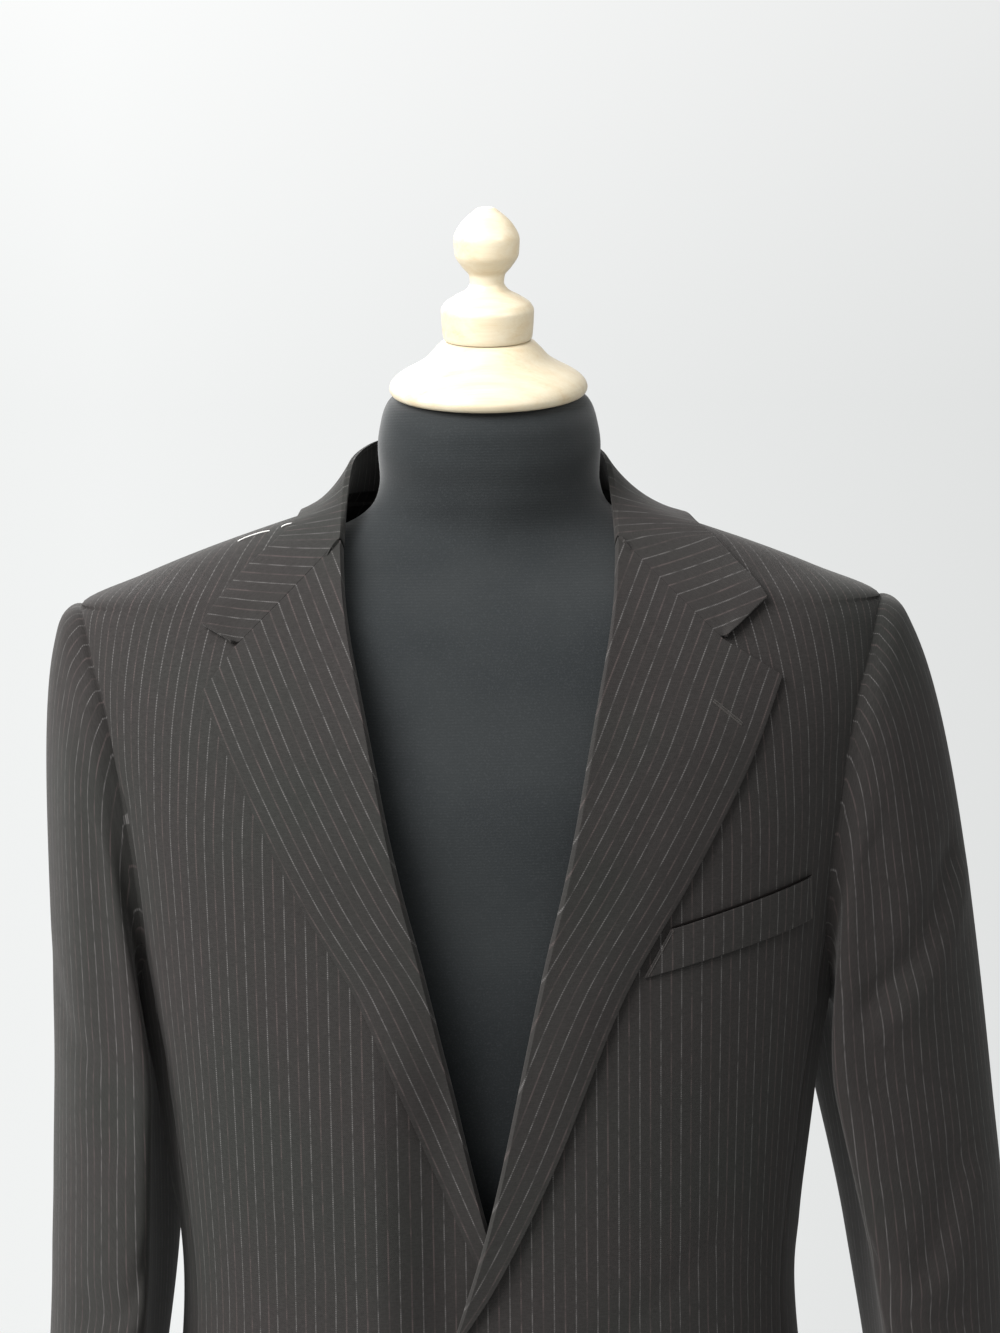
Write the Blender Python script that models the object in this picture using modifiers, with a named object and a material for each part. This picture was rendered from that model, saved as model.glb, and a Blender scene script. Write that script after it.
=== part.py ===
"""Two-piece suit, jacket and trousers, worn by a limbless dress form on a floor stand. Metres, +Z up.

The front faces -Y and the wearer's left is +X. The origin is the centre of the stand's underside.
"""
import math
from collections import namedtuple

import bpy
import numpy as np

# Driving dimensions
SEAM_GAP = 0.0003
EDGE_STRIP = 0.0015  # narrow faces along a seam, so that the walls on both sides of it stand square
JACKET_WALL = 0.002
SLEEVE_WALL = 0.0018
COLLAR_WALL = 0.002
TROUSER_WALL = 0.0015
JACKET_SHIFT = -0.006  # the jacket sits a little to the wearer's right on the form
SECTION_POWER = 2.3  # 2 is an ellipse; more is squarer
HEM_HEIGHT = 0.755
WAIST_BUTTON_HEIGHT = 1.028
LOW_BUTTON_HEIGHT = 0.922
OVERLAP = 0.020  # of each front past the centre line
CUTAWAY_TOP = LOW_BUTTON_HEIGHT - 0.02
CUTAWAY_SLANT = 0.030  # how far the front edge has left the centre at the hem, and its rounded corner more
CUTAWAY_ROUND = 0.052
UNDERLAP_DEPTH = 0.0045  # the wearer's right front lies this far under the left one
LAPEL_DEPTH = 0.0085  # and this much more where a lapel lies between them
SHOULDER_SEAM_TURN = math.radians(96)
VENT_TOP = 0.93
VENT_UNDERLAP = 0.032
VENT_DEPTH = 0.004
BACK_NECK_HEIGHT = 1.4925
FRONT_NECK_HEIGHT = 1.4905
TROUSER_TOP = 1.045
CROTCH_HEIGHT = 0.800
TROUSER_HEM = 0.036
POLE_X = 0.098  # the pole runs down inside the wearer's left trouser leg
POLE_RADIUS = 0.0125
BASE_RADIUS = 0.19
BASE_THICKNESS = 0.012

Ring = namedtuple("Ring", "height half_width front back")
JACKET_RINGS = (
    Ring(0.755, 0.205, 0.142, 0.150),
    Ring(0.850, 0.200, 0.142, 0.148),
    Ring(0.950, 0.187, 0.140, 0.134),
    Ring(1.050, 0.178, 0.138, 0.118),
    Ring(1.150, 0.188, 0.142, 0.124),
    Ring(1.220, 0.199, 0.144, 0.134),
    Ring(1.300, 0.212, 0.142, 0.140),
    Ring(1.360, 0.224, 0.130, 0.138),
    Ring(1.400, 0.231, 0.112, 0.126),
    Ring(1.425, 0.2315, 0.095, 0.112),
    Ring(1.437, 0.2285, 0.084, 0.102),
    Ring(1.454, 0.192, 0.066, 0.086),
    Ring(1.4675, 0.158, 0.050, 0.074),
    Ring(1.479, 0.125, 0.036, 0.066),
    Ring(1.487, 0.100, 0.026, 0.062),
    Ring(1.493, 0.079, 0.018, 0.060),
)

# The armhole, once round: the angle on the sleeve's ring, and where the seam lies on the jacket's body.
ArmholePoint = namedtuple("ArmholePoint", "angle height turn")
ARMHOLE = (
    ArmholePoint(0, 1.437, 90),
    ArmholePoint(8, 1.4345, 80.5),
    ArmholePoint(18, 1.426, 73.0),
    ArmholePoint(30, 1.410, 69),
    ArmholePoint(50, 1.385, 64),
    ArmholePoint(70, 1.355, 63.2),
    ArmholePoint(90, 1.320, 63.7),
    ArmholePoint(110, 1.285, 64.8),
    ArmholePoint(130, 1.250, 67.5),
    ArmholePoint(155, 1.218, 77),
    ArmholePoint(180, 1.205, 90),
    ArmholePoint(205, 1.218, 103),
    ArmholePoint(230, 1.250, 111.5),
    ArmholePoint(250, 1.285, 114),
    ArmholePoint(270, 1.320, 115.5),
    ArmholePoint(290, 1.355, 115.5),
    ArmholePoint(310, 1.385, 114),
    ArmholePoint(330, 1.410, 109),
    ArmholePoint(342, 1.426, 105),
    ArmholePoint(352, 1.4345, 98),
    ArmholePoint(360, 1.437, 90),
)
FRONT_SEAM_ANGLE = 130  # of the sleeve, and the top of the jacket's front side seam
BACK_SEAM_ANGLE = 250
SIDE_SEAM_ANGLE = 230  # the top of the jacket's back side seam
HEM_SEAM_TURNS = (63, 114)  # the two side seams at the hem

# A sleeve's rings below the armpit; bow bends the flat sleeve round the body.
SleeveRing = namedtuple("SleeveRing", "height middle_x middle_y half_x half_y bow")
SLEEVE_RINGS = {
    -1: (
        SleeveRing(1.160, 0.2255, 0.002, 0.0265, 0.084, 0.036),
        SleeveRing(1.050, 0.2275, -0.003, 0.028, 0.079, 0.031),
        SleeveRing(0.930, 0.2345, -0.018, 0.027, 0.071, 0.022),
        SleeveRing(0.815, 0.2405, -0.040, 0.026, 0.064, 0.012),
    ),
    1: (
        SleeveRing(1.160, 0.2520, -0.006, 0.0405, 0.079, 0.050),
        SleeveRing(1.050, 0.2640, -0.012, 0.038, 0.075, 0.038),
        SleeveRing(0.930, 0.2690, -0.026, 0.034, 0.069, 0.026),
        SleeveRing(0.815, 0.2690, -0.046, 0.031, 0.062, 0.016),
    ),
}

# The lapel and the collar, as distances from the jacket's centre line and heights.
FrontPoint = namedtuple("FrontPoint", "height x")
FOLD_LINE = (
    FrontPoint(1.044, -0.020),
    FrontPoint(1.111, 0.0005),
    FrontPoint(1.235, 0.028),
    FrontPoint(1.259, 0.0335),
    FrontPoint(1.290, 0.0415),
    FrontPoint(1.326, 0.0495),
    FrontPoint(1.365, 0.0572),
    FrontPoint(1.395, 0.0635),
    FrontPoint(1.420, 0.0690),
    FrontPoint(1.442, 0.0728),
    FrontPoint(1.470, 0.0755),
)
GORGE_TOP = FrontPoint(1.470, 0.0755)
NOTCH = FrontPoint(1.4175, 0.1305)
COLLAR_CORNER = {-1: FrontPoint(1.4275, 0.1500), 1: FrontPoint(1.4375, 0.1560)}
LAPEL_TIP = {-1: FrontPoint(1.3930, 0.1490), 1: FrontPoint(1.3980, 0.1620)}
LAPEL_EDGE = {
    -1: (
        FrontPoint(1.044, -0.0185),
        FrontPoint(1.080, 0.0020),
        FrontPoint(1.140, 0.0280),
        FrontPoint(1.235, 0.0660),
        FrontPoint(1.284, 0.0950),
        FrontPoint(1.345, 0.1265),
        LAPEL_TIP[-1],
    ),
    1: (
        FrontPoint(1.044, -0.0185),
        FrontPoint(1.080, 0.0040),
        FrontPoint(1.140, 0.0340),
        FrontPoint(1.236, 0.0740),
        FrontPoint(1.296, 0.1100),
        FrontPoint(1.357, 0.1440),
        LAPEL_TIP[1],
    ),
}
COLLAR_EDGE_FRONT = {
    -1: (COLLAR_CORNER[-1], FrontPoint(1.442, 0.1412), FrontPoint(1.455, 0.1305), FrontPoint(1.470, 0.1140)),
    1: (COLLAR_CORNER[1], FrontPoint(1.447, 0.1500), FrontPoint(1.458, 0.1410), FrontPoint(1.470, 0.1310)),
}
LAPEL_GAP = 0.0007  # between the front and the lapel's back, at its outer edge
ROLL_RISE = 0.0045  # what the fold stands off more than that
ROLL_REACH = 0.022  # how fast that fades away from the fold
ROLL_HOOK = 0.0040  # how far the fold turns round the front's edge
FOLD_CLEARANCE = 0.0012  # between the front's own edge and the fold

# The collar above the gorge, from the side of the neck to the centre back. Its fold and neck seam are
# alike on both sides; the fall lies closer to the neck on the wearer's right.
CollarStation = namedtuple("CollarStation", "fold control edge seam")
NECK_SIDE = {
    -1: (
        CollarStation(
            (0.0775, -0.018, 1.4955), (0.0865, -0.018, 1.4900),
            (0.1040, -0.018, 1.4846), (0.0775, -0.014, 1.4885)),
        CollarStation(
            (0.0750, 0.005, 1.5150), (0.0855, 0.006, 1.4960),
            (0.1010, 0.006, 1.4900), (0.0755, 0.006, 1.4975)),
        CollarStation(
            (0.0635, 0.038, 1.5265), (0.0750, 0.044, 1.5050),
            (0.0905, 0.052, 1.4850), (0.0630, 0.036, 1.4985))),
    1: (
        CollarStation(
            (0.0775, -0.018, 1.4955), (0.0880, -0.018, 1.4893),
            (0.1235, -0.018, 1.4800), (0.0775, -0.014, 1.4885)),
        CollarStation(
            (0.0750, 0.005, 1.5150), (0.0880, 0.006, 1.4938),
            (0.1165, 0.006, 1.4858), (0.0755, 0.006, 1.4975)),
        CollarStation(
            (0.0635, 0.038, 1.5265), (0.0770, 0.044, 1.5050),
            (0.0960, 0.053, 1.4840), (0.0630, 0.036, 1.4985))),
}
BACK_NECK = (
    CollarStation(
        (0.0350, 0.061, 1.5325), (0.041, 0.070, 1.5100),
        (0.0490, 0.0765, 1.4845), (0.0345, 0.0555, 1.4985)),
    CollarStation(
        (0.0000, 0.0685, 1.5345), (0.000, 0.0765, 1.5120),
        (0.0000, 0.0790, 1.4845), (0.0000, 0.0620, 1.4985)),
)

# Pieces that lie on the fronts: corners as (x, height), and how far their face stands off.
Patch = namedtuple("Patch", "low_inner low_outer high_inner high_outer rows columns out wall")
BREAST_WELT = Patch((0.084, 1.244), (0.1795, 1.2645), (0.0985, 1.269), (0.1785, 1.2885), 3, 8, 0.0018, 0.0012)
HIP_FLAP = Patch((0.080, 0.930), (0.1775, 0.922), (0.078, 0.984), (0.1755, 0.976), 3, 9, 0.0034, 0.0020)
POCKET_JET = Patch((0.078, 0.9855), (0.1755, 0.9775), (0.078, 0.9905), (0.1755, 0.9825), 2, 9, 0.0032, 0.0015)

# Buttons
Button = namedtuple("Button", "radius thickness sides")
FRONT_BUTTON = Button(0.0100, 0.0034, 18)
SLEEVE_BUTTON = Button(0.0075, 0.0030, 12)
BUTTON_SEAT = 0.0006  # between the cloth and the button's back, for its shank
SLEEVE_BUTTONS = 4
SLEEVE_BUTTON_HEIGHT = 0.840
SLEEVE_BUTTON_PITCH = 0.0165
SLEEVE_BUTTON_ANGLE = 294

# A trouser leg. Above the crotch its ring is cut off by the centre plane.
LegRing = namedtuple("LegRing", "height centre_x half_width front back power")
LEG_RINGS = (
    LegRing(0.036, 0.101, 0.045, 0.094, 0.088, 1.75),
    LegRing(0.200, 0.101, 0.050, 0.094, 0.088, 1.80),
    LegRing(0.350, 0.100, 0.056, 0.094, 0.089, 1.85),
    LegRing(0.500, 0.098, 0.064, 0.095, 0.092, 1.95),
    LegRing(0.620, 0.096, 0.073, 0.098, 0.098, 2.05),
    LegRing(0.720, 0.094, 0.082, 0.101, 0.106, 2.15),
    LegRing(0.800, 0.0915, 0.0905, 0.106, 0.112, 2.25),
    LegRing(0.812, 0.0885, 0.0905, 0.107, 0.113, 2.3),
    LegRing(0.835, 0.0780, 0.1020, 0.108, 0.115, 2.3),
    LegRing(0.870, 0.0520, 0.1280, 0.111, 0.118, 2.3),
    LegRing(0.910, 0.0240, 0.1540, 0.114, 0.119, 2.3),
    LegRing(0.960, 0.0060, 0.1640, 0.115, 0.117, 2.3),
    LegRing(1.000, 0.0000, 0.1610, 0.114, 0.111, 2.3),
    LegRing(1.045, 0.0000, 0.1505, 0.1115, 0.1045, 2.3),
)
WAISTBAND_HEIGHT = 0.038
WAISTBAND_WALL = 0.0025
WAIST = (0.1500, 0.1110, 0.1040)  # half width, front and back of the band's outside
WAIST_INSIDE = tuple(size - WAISTBAND_WALL - 0.0005 for size in WAIST)
AROUND_WAIST = 24  # the same faces round the band and the form, so that they lie side by side

FormRing = namedtuple("FormRing", "height half_width front back power")
FORM_RINGS = (
    FormRing(0.8780, 0.128, 0.080, 0.083, 2.3),
    FormRing(0.8840, 0.141, 0.092, 0.096, 2.3),
    FormRing(0.9050, 0.150, 0.100, 0.105, 2.3),
    FormRing(0.9600, 0.154, 0.104, 0.108, 2.3),
    FormRing(1.0300, *WAIST_INSIDE, 2.3),
    FormRing(1.0880, *WAIST_INSIDE, 2.3),
    FormRing(1.1600, 0.151, 0.112, 0.104, 2.3),
    FormRing(1.2500, 0.163, 0.122, 0.117, 2.3),
    FormRing(1.3200, 0.172, 0.122, 0.124, 2.3),
    FormRing(1.3800, 0.188, 0.105, 0.118, 2.2),
    FormRing(1.4200, 0.206, 0.088, 0.104, 2.2),
    FormRing(1.4370, 0.205, 0.075, 0.095, 2.1),
    FormRing(1.4540, 0.180, 0.057, 0.080, 1.75),
    FormRing(1.4675, 0.130, 0.050, 0.064, 1.5),
    FormRing(1.4790, 0.086, 0.049, 0.054, 1.5),
    FormRing(1.4900, 0.0675, 0.0525, 0.051, 1.8),
    FormRing(1.5050, 0.0625, 0.0545, 0.052, 2.0),
    FormRing(1.5250, 0.0635, 0.057, 0.055, 2.1),
    FormRing(1.5410, 0.0610, 0.057, 0.055, 2.1),
    FormRing(1.5500, 0.0570, 0.053, 0.051, 2.1),
    FormRing(1.5535, 0.0480, 0.045, 0.043, 2.1),
)
NECK_LEAN_START = 1.48
NECK_LEAN = math.radians(13)  # the neck and its wooden cap lean forward
NECK_TOP = 1.5535

COLOURS = {
    "suit_cloth": ((0.045, 0.042, 0.040), 0.85),
    "form_cloth": ((0.020, 0.022, 0.025), 0.90),
    "beech": ((0.78, 0.66, 0.47), 0.45),
    "horn": ((0.030, 0.024, 0.020), 0.35),
    "steel": ((0.55, 0.55, 0.56), 0.30),
}


def clear_scene():
    for thing in list(bpy.data.objects):
        bpy.data.objects.remove(thing)


def make_collection(name):
    collection = bpy.data.collections.new(name)
    bpy.context.scene.collection.children.link(collection)
    return collection


def make_materials():
    made = {}
    for name, (colour, roughness) in COLOURS.items():
        material = bpy.data.materials.new(name)
        material.use_nodes = True
        shader = material.node_tree.nodes["Principled BSDF"]
        shader.inputs["Base Color"].default_value = (*colour, 1)
        shader.inputs["Roughness"].default_value = roughness
        shader.inputs["Metallic"].default_value = 1.0 if name == "steel" else 0.0
        made[name] = material
    return made


clear_scene()
PARTS = make_collection("two_piece_suit")
MATERIALS = make_materials()


# Curves and sections


def smooth(stations, values, at):
    """A monotone cubic through the values, read at one place."""
    x = np.asarray(stations, float)
    y = np.asarray(values, float)
    step = np.diff(x)
    rise = (np.diff(y, axis=0).T / step).T
    slope = np.empty_like(y)
    slope[0], slope[-1] = rise[0], rise[-1]
    before, after = rise[:-1], rise[1:]
    same_way = before * after > 0
    total = np.where(same_way, before + after, 1)
    slope[1:-1] = np.where(same_way, 2 * before * after / total, 0)
    i = int(np.clip(np.searchsorted(x, at) - 1, 0, len(step) - 1))
    t = (at - x[i]) / step[i]
    t = min(max(t, 0.0), 1.0)
    ends = (1 + 2 * t) * (1 - t) ** 2 * y[i] + t * t * (3 - 2 * t) * y[i + 1]
    return ends + step[i] * (t * (1 - t) ** 2 * slope[i] - t * t * (1 - t) * slope[i + 1])


def ease(low, high, value):
    """0 below low, 1 above high, and smooth between."""
    t = min(max((value - low) / (high - low), 0), 1)
    return t * t * (3 - 2 * t)


def ring_at(table, height):
    rows = np.array(table, float)
    return smooth(rows[:, 0], rows[:, 1:], height)


def section(turn, half_width, front, back, power=SECTION_POWER):
    """A point on a squared ellipse. Turn 0 is the centre front, 90 degrees the side, 180 the centre back."""
    across, along = math.sin(turn), math.cos(turn)
    x = math.copysign(half_width * abs(across) ** (2 / power), across)
    depth = front if along > 0 else back
    return x, -math.copysign(depth * abs(along) ** (2 / power), along)


def turn_at(x, half_width, power=SECTION_POWER):
    """The turn on the front half where the section has this x."""
    share = min(abs(x) / half_width, 1) ** (power / 2)
    return math.copysign(math.asin(share), x)


def jacket_surface(turn, height):
    return np.array([*section(turn, *ring_at(JACKET_RINGS, height)), height])


def jacket_point(turn, height, out=0.0):
    """A point of the jacket's body, moved out along the surface's normal."""
    point = jacket_surface(turn, height)
    if not out:
        return point
    step = 1e-4
    sideways = jacket_surface(turn + step, height) - jacket_surface(turn - step, height)
    upward = jacket_surface(turn, height + step) - jacket_surface(turn, height - step)
    normal = np.cross(sideways, upward)
    return point + out * normal / np.linalg.norm(normal)


def front_point(x, height, out=0.0):
    half_width = ring_at(JACKET_RINGS, height)[0]
    return jacket_point(turn_at(x, half_width), height, out)


def line_x(line, height):
    rows = sorted(line)
    return float(smooth([p.height for p in rows], [p.x for p in rows], height))


def straight_x(low, high, height):
    share = (height - low.height) / (high.height - low.height)
    return low.x + share * (high.x - low.x)


# Grids of points, and the cloth walls made from them


def shares(count):
    return [i / (count - 1) for i in range(count)]


def levels(low, high, count):
    return [low + (high - low) * share for share in shares(count)]


def with_edge_strips(count, width):
    """Shares across a panel of this width, with a narrow strip at each end."""
    strip = min(EDGE_STRIP / max(width, 1e-6), 0.2)
    inner = shares(count)[1:-1]
    return [0.0, strip, *inner, 1 - strip, 1.0]


def pull_in(grid, first_column=False, last_column=False, first_row=False, last_row=False):
    """Moves a panel's seam edges back by half the gap between two pieces."""
    grid = np.array(grid, float)
    for wanted, edge, inside in (
        (first_column, grid[:, 0], grid[:, 1]),
        (last_column, grid[:, -1], grid[:, -2]),
        (first_row, grid[0], grid[1]),
        (last_row, grid[-1], grid[-2]),
    ):
        if wanted:
            way = inside - edge
            edge += SEAM_GAP / 2 * way / np.linalg.norm(way, axis=1, keepdims=True)
    return grid


def placed(grid, side, shift=JACKET_SHIFT):
    """The grid on its own side of the body: it is made on the wearer's left."""
    return np.array(grid, float) * (side, 1, 1) + (shift, 0, 0)


def add_object(name, mesh, material):
    mesh.materials.append(MATERIALS[material])
    thing = bpy.data.objects.new(name, mesh)
    PARTS.objects.link(thing)
    return thing


def grid_mesh(name, grids, flip):
    """One open mesh from grids of rows of points; grids that share an edge are merged there."""
    points, faces = [], []
    for grid in grids:
        rows, columns = grid.shape[:2]
        start = len(points)
        points.extend(map(tuple, grid.reshape(-1, 3)))
        for i in range(rows - 1):
            for j in range(columns - 1):
                a = start + i * columns + j
                face = (a, a + 1, a + 1 + columns, a + columns)
                faces.append(face[::-1] if flip else face)
    mesh = bpy.data.meshes.new(name)
    mesh.from_pydata(points, [], faces)
    return mesh


def cloth(name, grids, wall, flip=False, material="suit_cloth"):
    """A wall of cloth: the grids are its face side, and the thickness goes behind them."""
    grids = [np.asarray(grid, float) for grid in (grids if isinstance(grids, list) else [grids])]
    thing = add_object(name, grid_mesh(name, grids, flip), material)
    if len(grids) > 1:
        weld = thing.modifiers.new("weld", "WELD")
        weld.merge_threshold = 0.00005
    shell = thing.modifiers.new("wall", "SOLIDIFY")
    shell.thickness = wall
    shell.offset = -1
    return thing


def side_name(side):
    return "left" if side > 0 else "right"


# Jacket body


ARMHOLE_FRONT = [p for p in ARMHOLE if p.angle <= FRONT_SEAM_ANGLE]
ARMHOLE_BACK = [p for p in ARMHOLE if p.angle >= SIDE_SEAM_ANGLE]
ARMHOLE_LOW = [p for p in ARMHOLE if FRONT_SEAM_ANGLE <= p.angle <= SIDE_SEAM_ANGLE]
SIDE_SEAM_TOP = ARMHOLE_FRONT[-1].height
SHOULDER_POINT = ARMHOLE[0].height
BODY_LEVELS = [HEM_HEIGHT, 0.761, 0.770, 0.784, 0.806, 0.840] + levels(0.880, SIDE_SEAM_TOP, 8)
ARMHOLE_LEVELS = sorted(p.height for p in ARMHOLE_FRONT)[1:]
SHOULDER_LEVELS = levels(SHOULDER_POINT, FRONT_NECK_HEIGHT, 7)[1:]


def seam_turn(points, height):
    rows = sorted((p.height, math.radians(p.turn)) for p in points)
    return float(smooth([r[0] for r in rows], [r[1] for r in rows], height))


def side_seam_turn(height, front):
    """The side panel's two seams, from the armhole down to the hem."""
    top = math.radians((ARMHOLE_LOW[0] if front else ARMHOLE_LOW[-1]).turn)
    hem = math.radians(HEM_SEAM_TURNS[0 if front else 1])
    return hem + (top - hem) * (height - HEM_HEIGHT) / (SIDE_SEAM_TOP - HEM_HEIGHT)


def outer_turn(height, front):
    """Where a front or a back ends: at the side seam, the armhole or the shoulder seam."""
    if height <= SIDE_SEAM_TOP:
        return side_seam_turn(height, front)
    if height >= SHOULDER_POINT:
        return SHOULDER_SEAM_TURN
    return seam_turn(ARMHOLE_FRONT if front else ARMHOLE_BACK, height)


def front_edge_x(height):
    """The front's own edge: the cutaway below the buttons, the overlap, then inside the lapel's fold."""
    if height < CUTAWAY_TOP:
        drop = (CUTAWAY_TOP - height) / (CUTAWAY_TOP - HEM_HEIGHT)
        return -OVERLAP + CUTAWAY_SLANT * drop**1.8 + CUTAWAY_ROUND * drop**8
    if height < FOLD_LINE[0].height:
        return -OVERLAP
    if height <= GORGE_TOP.height:
        rise = ease(FOLD_LINE[0].height, FOLD_LINE[0].height + 0.03, height)
        return line_x(FOLD_LINE, height) + (ROLL_HOOK + FOLD_CLEARANCE) * rise
    return GORGE_TOP.x + ROLL_HOOK + 1.5 * FOLD_CLEARANCE


def tuck(x, height, side):
    """How far the wearer's right front lies under the left one, near the centre line."""
    if side > 0:
        return 0.0
    lapels = ease(0.98, 1.06, height) * (1 - ease(1.16, 1.22, height))
    depth = UNDERLAP_DEPTH + LAPEL_DEPTH * lapels
    return -depth * (1 - ease(0.018, 0.062, x)) * (1 - ease(1.20, 1.27, height))


def make_front(side):
    rows = []
    for height in BODY_LEVELS + ARMHOLE_LEVELS + SHOULDER_LEVELS:
        half_width = ring_at(JACKET_RINGS, height)[0]
        start = turn_at(front_edge_x(height), half_width)
        end = outer_turn(height, True)
        row = []
        for share in with_edge_strips(9, (end - start) * half_width):
            turn = start + (end - start) * share
            x = section(turn, *ring_at(JACKET_RINGS, height))[0]
            row.append(jacket_point(turn, height, tuck(x, height, side)))
        rows.append(row)
    grid = pull_in(rows, last_column=True)
    cloth(f"jacket_front_{side_name(side)}", placed(grid, side), JACKET_WALL, side < 0)


def make_side_panel(side):
    first_turn, last_turn = ARMHOLE_LOW[0].turn, ARMHOLE_LOW[-1].turn
    turns = [p.turn for p in ARMHOLE_LOW]
    tops = [p.height for p in ARMHOLE_LOW]
    strip = 0.7
    columns = []
    for turn in [first_turn, first_turn + strip, *turns[1:-1], last_turn - strip, last_turn]:
        share = (turn - first_turn) / (last_turn - first_turn)
        column = []
        top = float(smooth(turns, tops, turn))
        for level in BODY_LEVELS:
            height = HEM_HEIGHT + (level - HEM_HEIGHT) * (top - HEM_HEIGHT) / (SIDE_SEAM_TOP - HEM_HEIGHT)
            first, last = side_seam_turn(height, True), side_seam_turn(height, False)
            column.append(jacket_point(first + (last - first) * share, height))
        columns.append(column)
    grid = np.array(columns).transpose(1, 0, 2)
    grid = pull_in(grid, first_column=True, last_column=True)
    cloth(f"jacket_side_{side_name(side)}", placed(grid, side), JACKET_WALL, side < 0)


def make_back(side):
    """Side seam to centre seam. Below the vent's top the wearer's right back runs on under the left one."""
    rows = []
    for height in BODY_LEVELS + ARMHOLE_LEVELS + SHOULDER_LEVELS + [BACK_NECK_HEIGHT]:
        half_width = ring_at(JACKET_RINGS, height)[0]
        below_vent = 1 - ease(VENT_TOP - 0.045, VENT_TOP - 0.025, height) if side < 0 else 0
        sunk = 1 - ease(VENT_TOP - 0.01, VENT_TOP + 0.03, height) if side < 0 else 0
        start = outer_turn(height, False)
        end = math.pi + turn_at(VENT_UNDERLAP * below_vent, half_width)
        row = []
        for share in with_edge_strips(8, (end - start) * half_width):
            turn = start + (end - start) * share
            x = section(turn, *ring_at(JACKET_RINGS, height))[0]
            row.append(jacket_point(turn, height, -VENT_DEPTH * sunk * (1 - ease(0.012, 0.045, x))))
        rows.append(row)
    grid = pull_in(rows, first_column=True, last_column=True)
    cloth(f"jacket_back_{side_name(side)}", placed(grid, side), JACKET_WALL, side < 0)


# Lapels and collar


def layer_out(x, height, side):
    """How far the face of the lapel or the collar stands off the jacket's surface."""
    rise = ROLL_RISE * math.exp(-max(x - line_x(FOLD_LINE, height), 0) / ROLL_REACH)
    rise *= ease(FOLD_LINE[0].height - 0.005, FOLD_LINE[0].height + 0.04, height)
    return COLLAR_WALL + LAPEL_GAP + rise + tuck(x, height, side)


def lapel_outer_x(height, side):
    tip = LAPEL_TIP[side]
    if height <= tip.height:
        return line_x(LAPEL_EDGE[side], height)
    if height <= NOTCH.height:
        return straight_x(tip, NOTCH, height)
    return straight_x(NOTCH, GORGE_TOP, height)


def make_lapel(side):
    tip = LAPEL_TIP[side].height
    break_point = FOLD_LINE[0].height + 0.006
    heights = [break_point]
    heights += [h for h in BODY_LEVELS + ARMHOLE_LEVELS if break_point + 0.01 < h < tip - 0.004]
    heights += levels(tip, NOTCH.height, 3)
    heights += levels(NOTCH.height, GORGE_TOP.height - 0.0025, 6)[1:]
    rows = []
    for height in heights:
        fold = line_x(FOLD_LINE, height)
        outer = lapel_outer_x(height, side)
        below = tuck(fold, height, side)
        hook = min(ROLL_HOOK, 0.7 * (outer - fold))
        row = [
            front_point(fold + 0.9 * hook, height, below - JACKET_WALL - 0.0026),
            front_point(fold + 0.2 * hook, height, below - JACKET_WALL - 0.0012),
            front_point(fold, height, below + 0.0012),
        ]
        for share in shares(8):
            x = fold + 0.35 * hook + (outer - fold - 0.35 * hook) * share
            row.append(front_point(x, height, layer_out(x, height, side)))
        rows.append(row)
    grid = pull_in(rows, last_row=True)
    gorge = len(heights) - 5
    grid[gorge:, -1, 0] -= SEAM_GAP
    cloth(f"lapel_{side_name(side)}", placed(grid, side), COLLAR_WALL, side < 0)


def gorge_row(height, side):
    """One level row of the collar's fall below the gorge's top: from the gorge seam to the collar's edge."""
    corner = COLLAR_CORNER[side]
    inner = straight_x(NOTCH, GORGE_TOP, height) + SEAM_GAP
    outer = line_x(COLLAR_EDGE_FRONT[side], height)
    if height < corner.height:
        outer = straight_x(NOTCH, corner, height)
    across = levels(inner, outer, 8)
    return [front_point(x, height, layer_out(x, height, side)) for x in across]


def fall_row(fold, control, edge):
    """A section of the fall: over the fold and down to the collar's edge."""
    fold, control, edge = map(np.array, (fold, control, edge))
    return [(1 - t) ** 2 * fold + 2 * t * (1 - t) * control + t * t * edge for t in shares(8)]


def stand_row(fold, seam):
    """A section of the stand, from the neck seam up to the fold, bowed a little to the neck."""
    fold, seam = np.array(fold), np.array(seam)
    inward = np.array([-fold[0], -fold[1], 0])
    inward /= max(np.linalg.norm(inward), 1e-6)
    crown = fold + inward * 0.0030 + (0, 0, 0.0010)
    low = seam + (crown - seam) * 0.5 + inward * 0.0008
    return [seam, low, crown - (0, 0, 0.0045), crown, fold + (0, 0, 0.0001)]


def between_rows(rows, fine):
    """Rows read from a smooth curve through each column of the given rows."""
    rows = np.array(rows, float)
    at = levels(0, len(rows) - 1, fine)
    known = np.arange(len(rows))
    return [
        np.stack([[smooth(known, rows[:, j, k], t) for k in range(3)] for j in range(rows.shape[1])])
        for t in at
    ]


def half_collar(side):
    """The fall's and the stand's rows on one side, from the notch up and round to the centre back."""
    top = GORGE_TOP.height
    low = [gorge_row(h, side) for h in levels(NOTCH.height + 0.0016, COLLAR_CORNER[side].height, 3)]
    low += [gorge_row(h, side) for h in levels(COLLAR_CORNER[side].height, top - 0.001, 5)[1:]]
    round_the_fold = ((0.0036, -0.0046), (0.0016, -0.0038), (-0.0001, -0.0010), (0.0002, 0.0030), (0, 0))
    first_stand = [front_point(GORGE_TOP.x + across, top, out) for across, out in round_the_fold]
    stations = NECK_SIDE[side] + BACK_NECK
    above = [low[-1]] + [fall_row(s.fold, s.control, s.edge) for s in stations]
    stand = [first_stand] + [stand_row(s.fold, s.seam) for s in stations]
    for row, under in zip(above, stand):
        under[-1] = row[0]
    return low[:-1] + between_rows(above, 10), between_rows(stand, 10)


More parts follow.
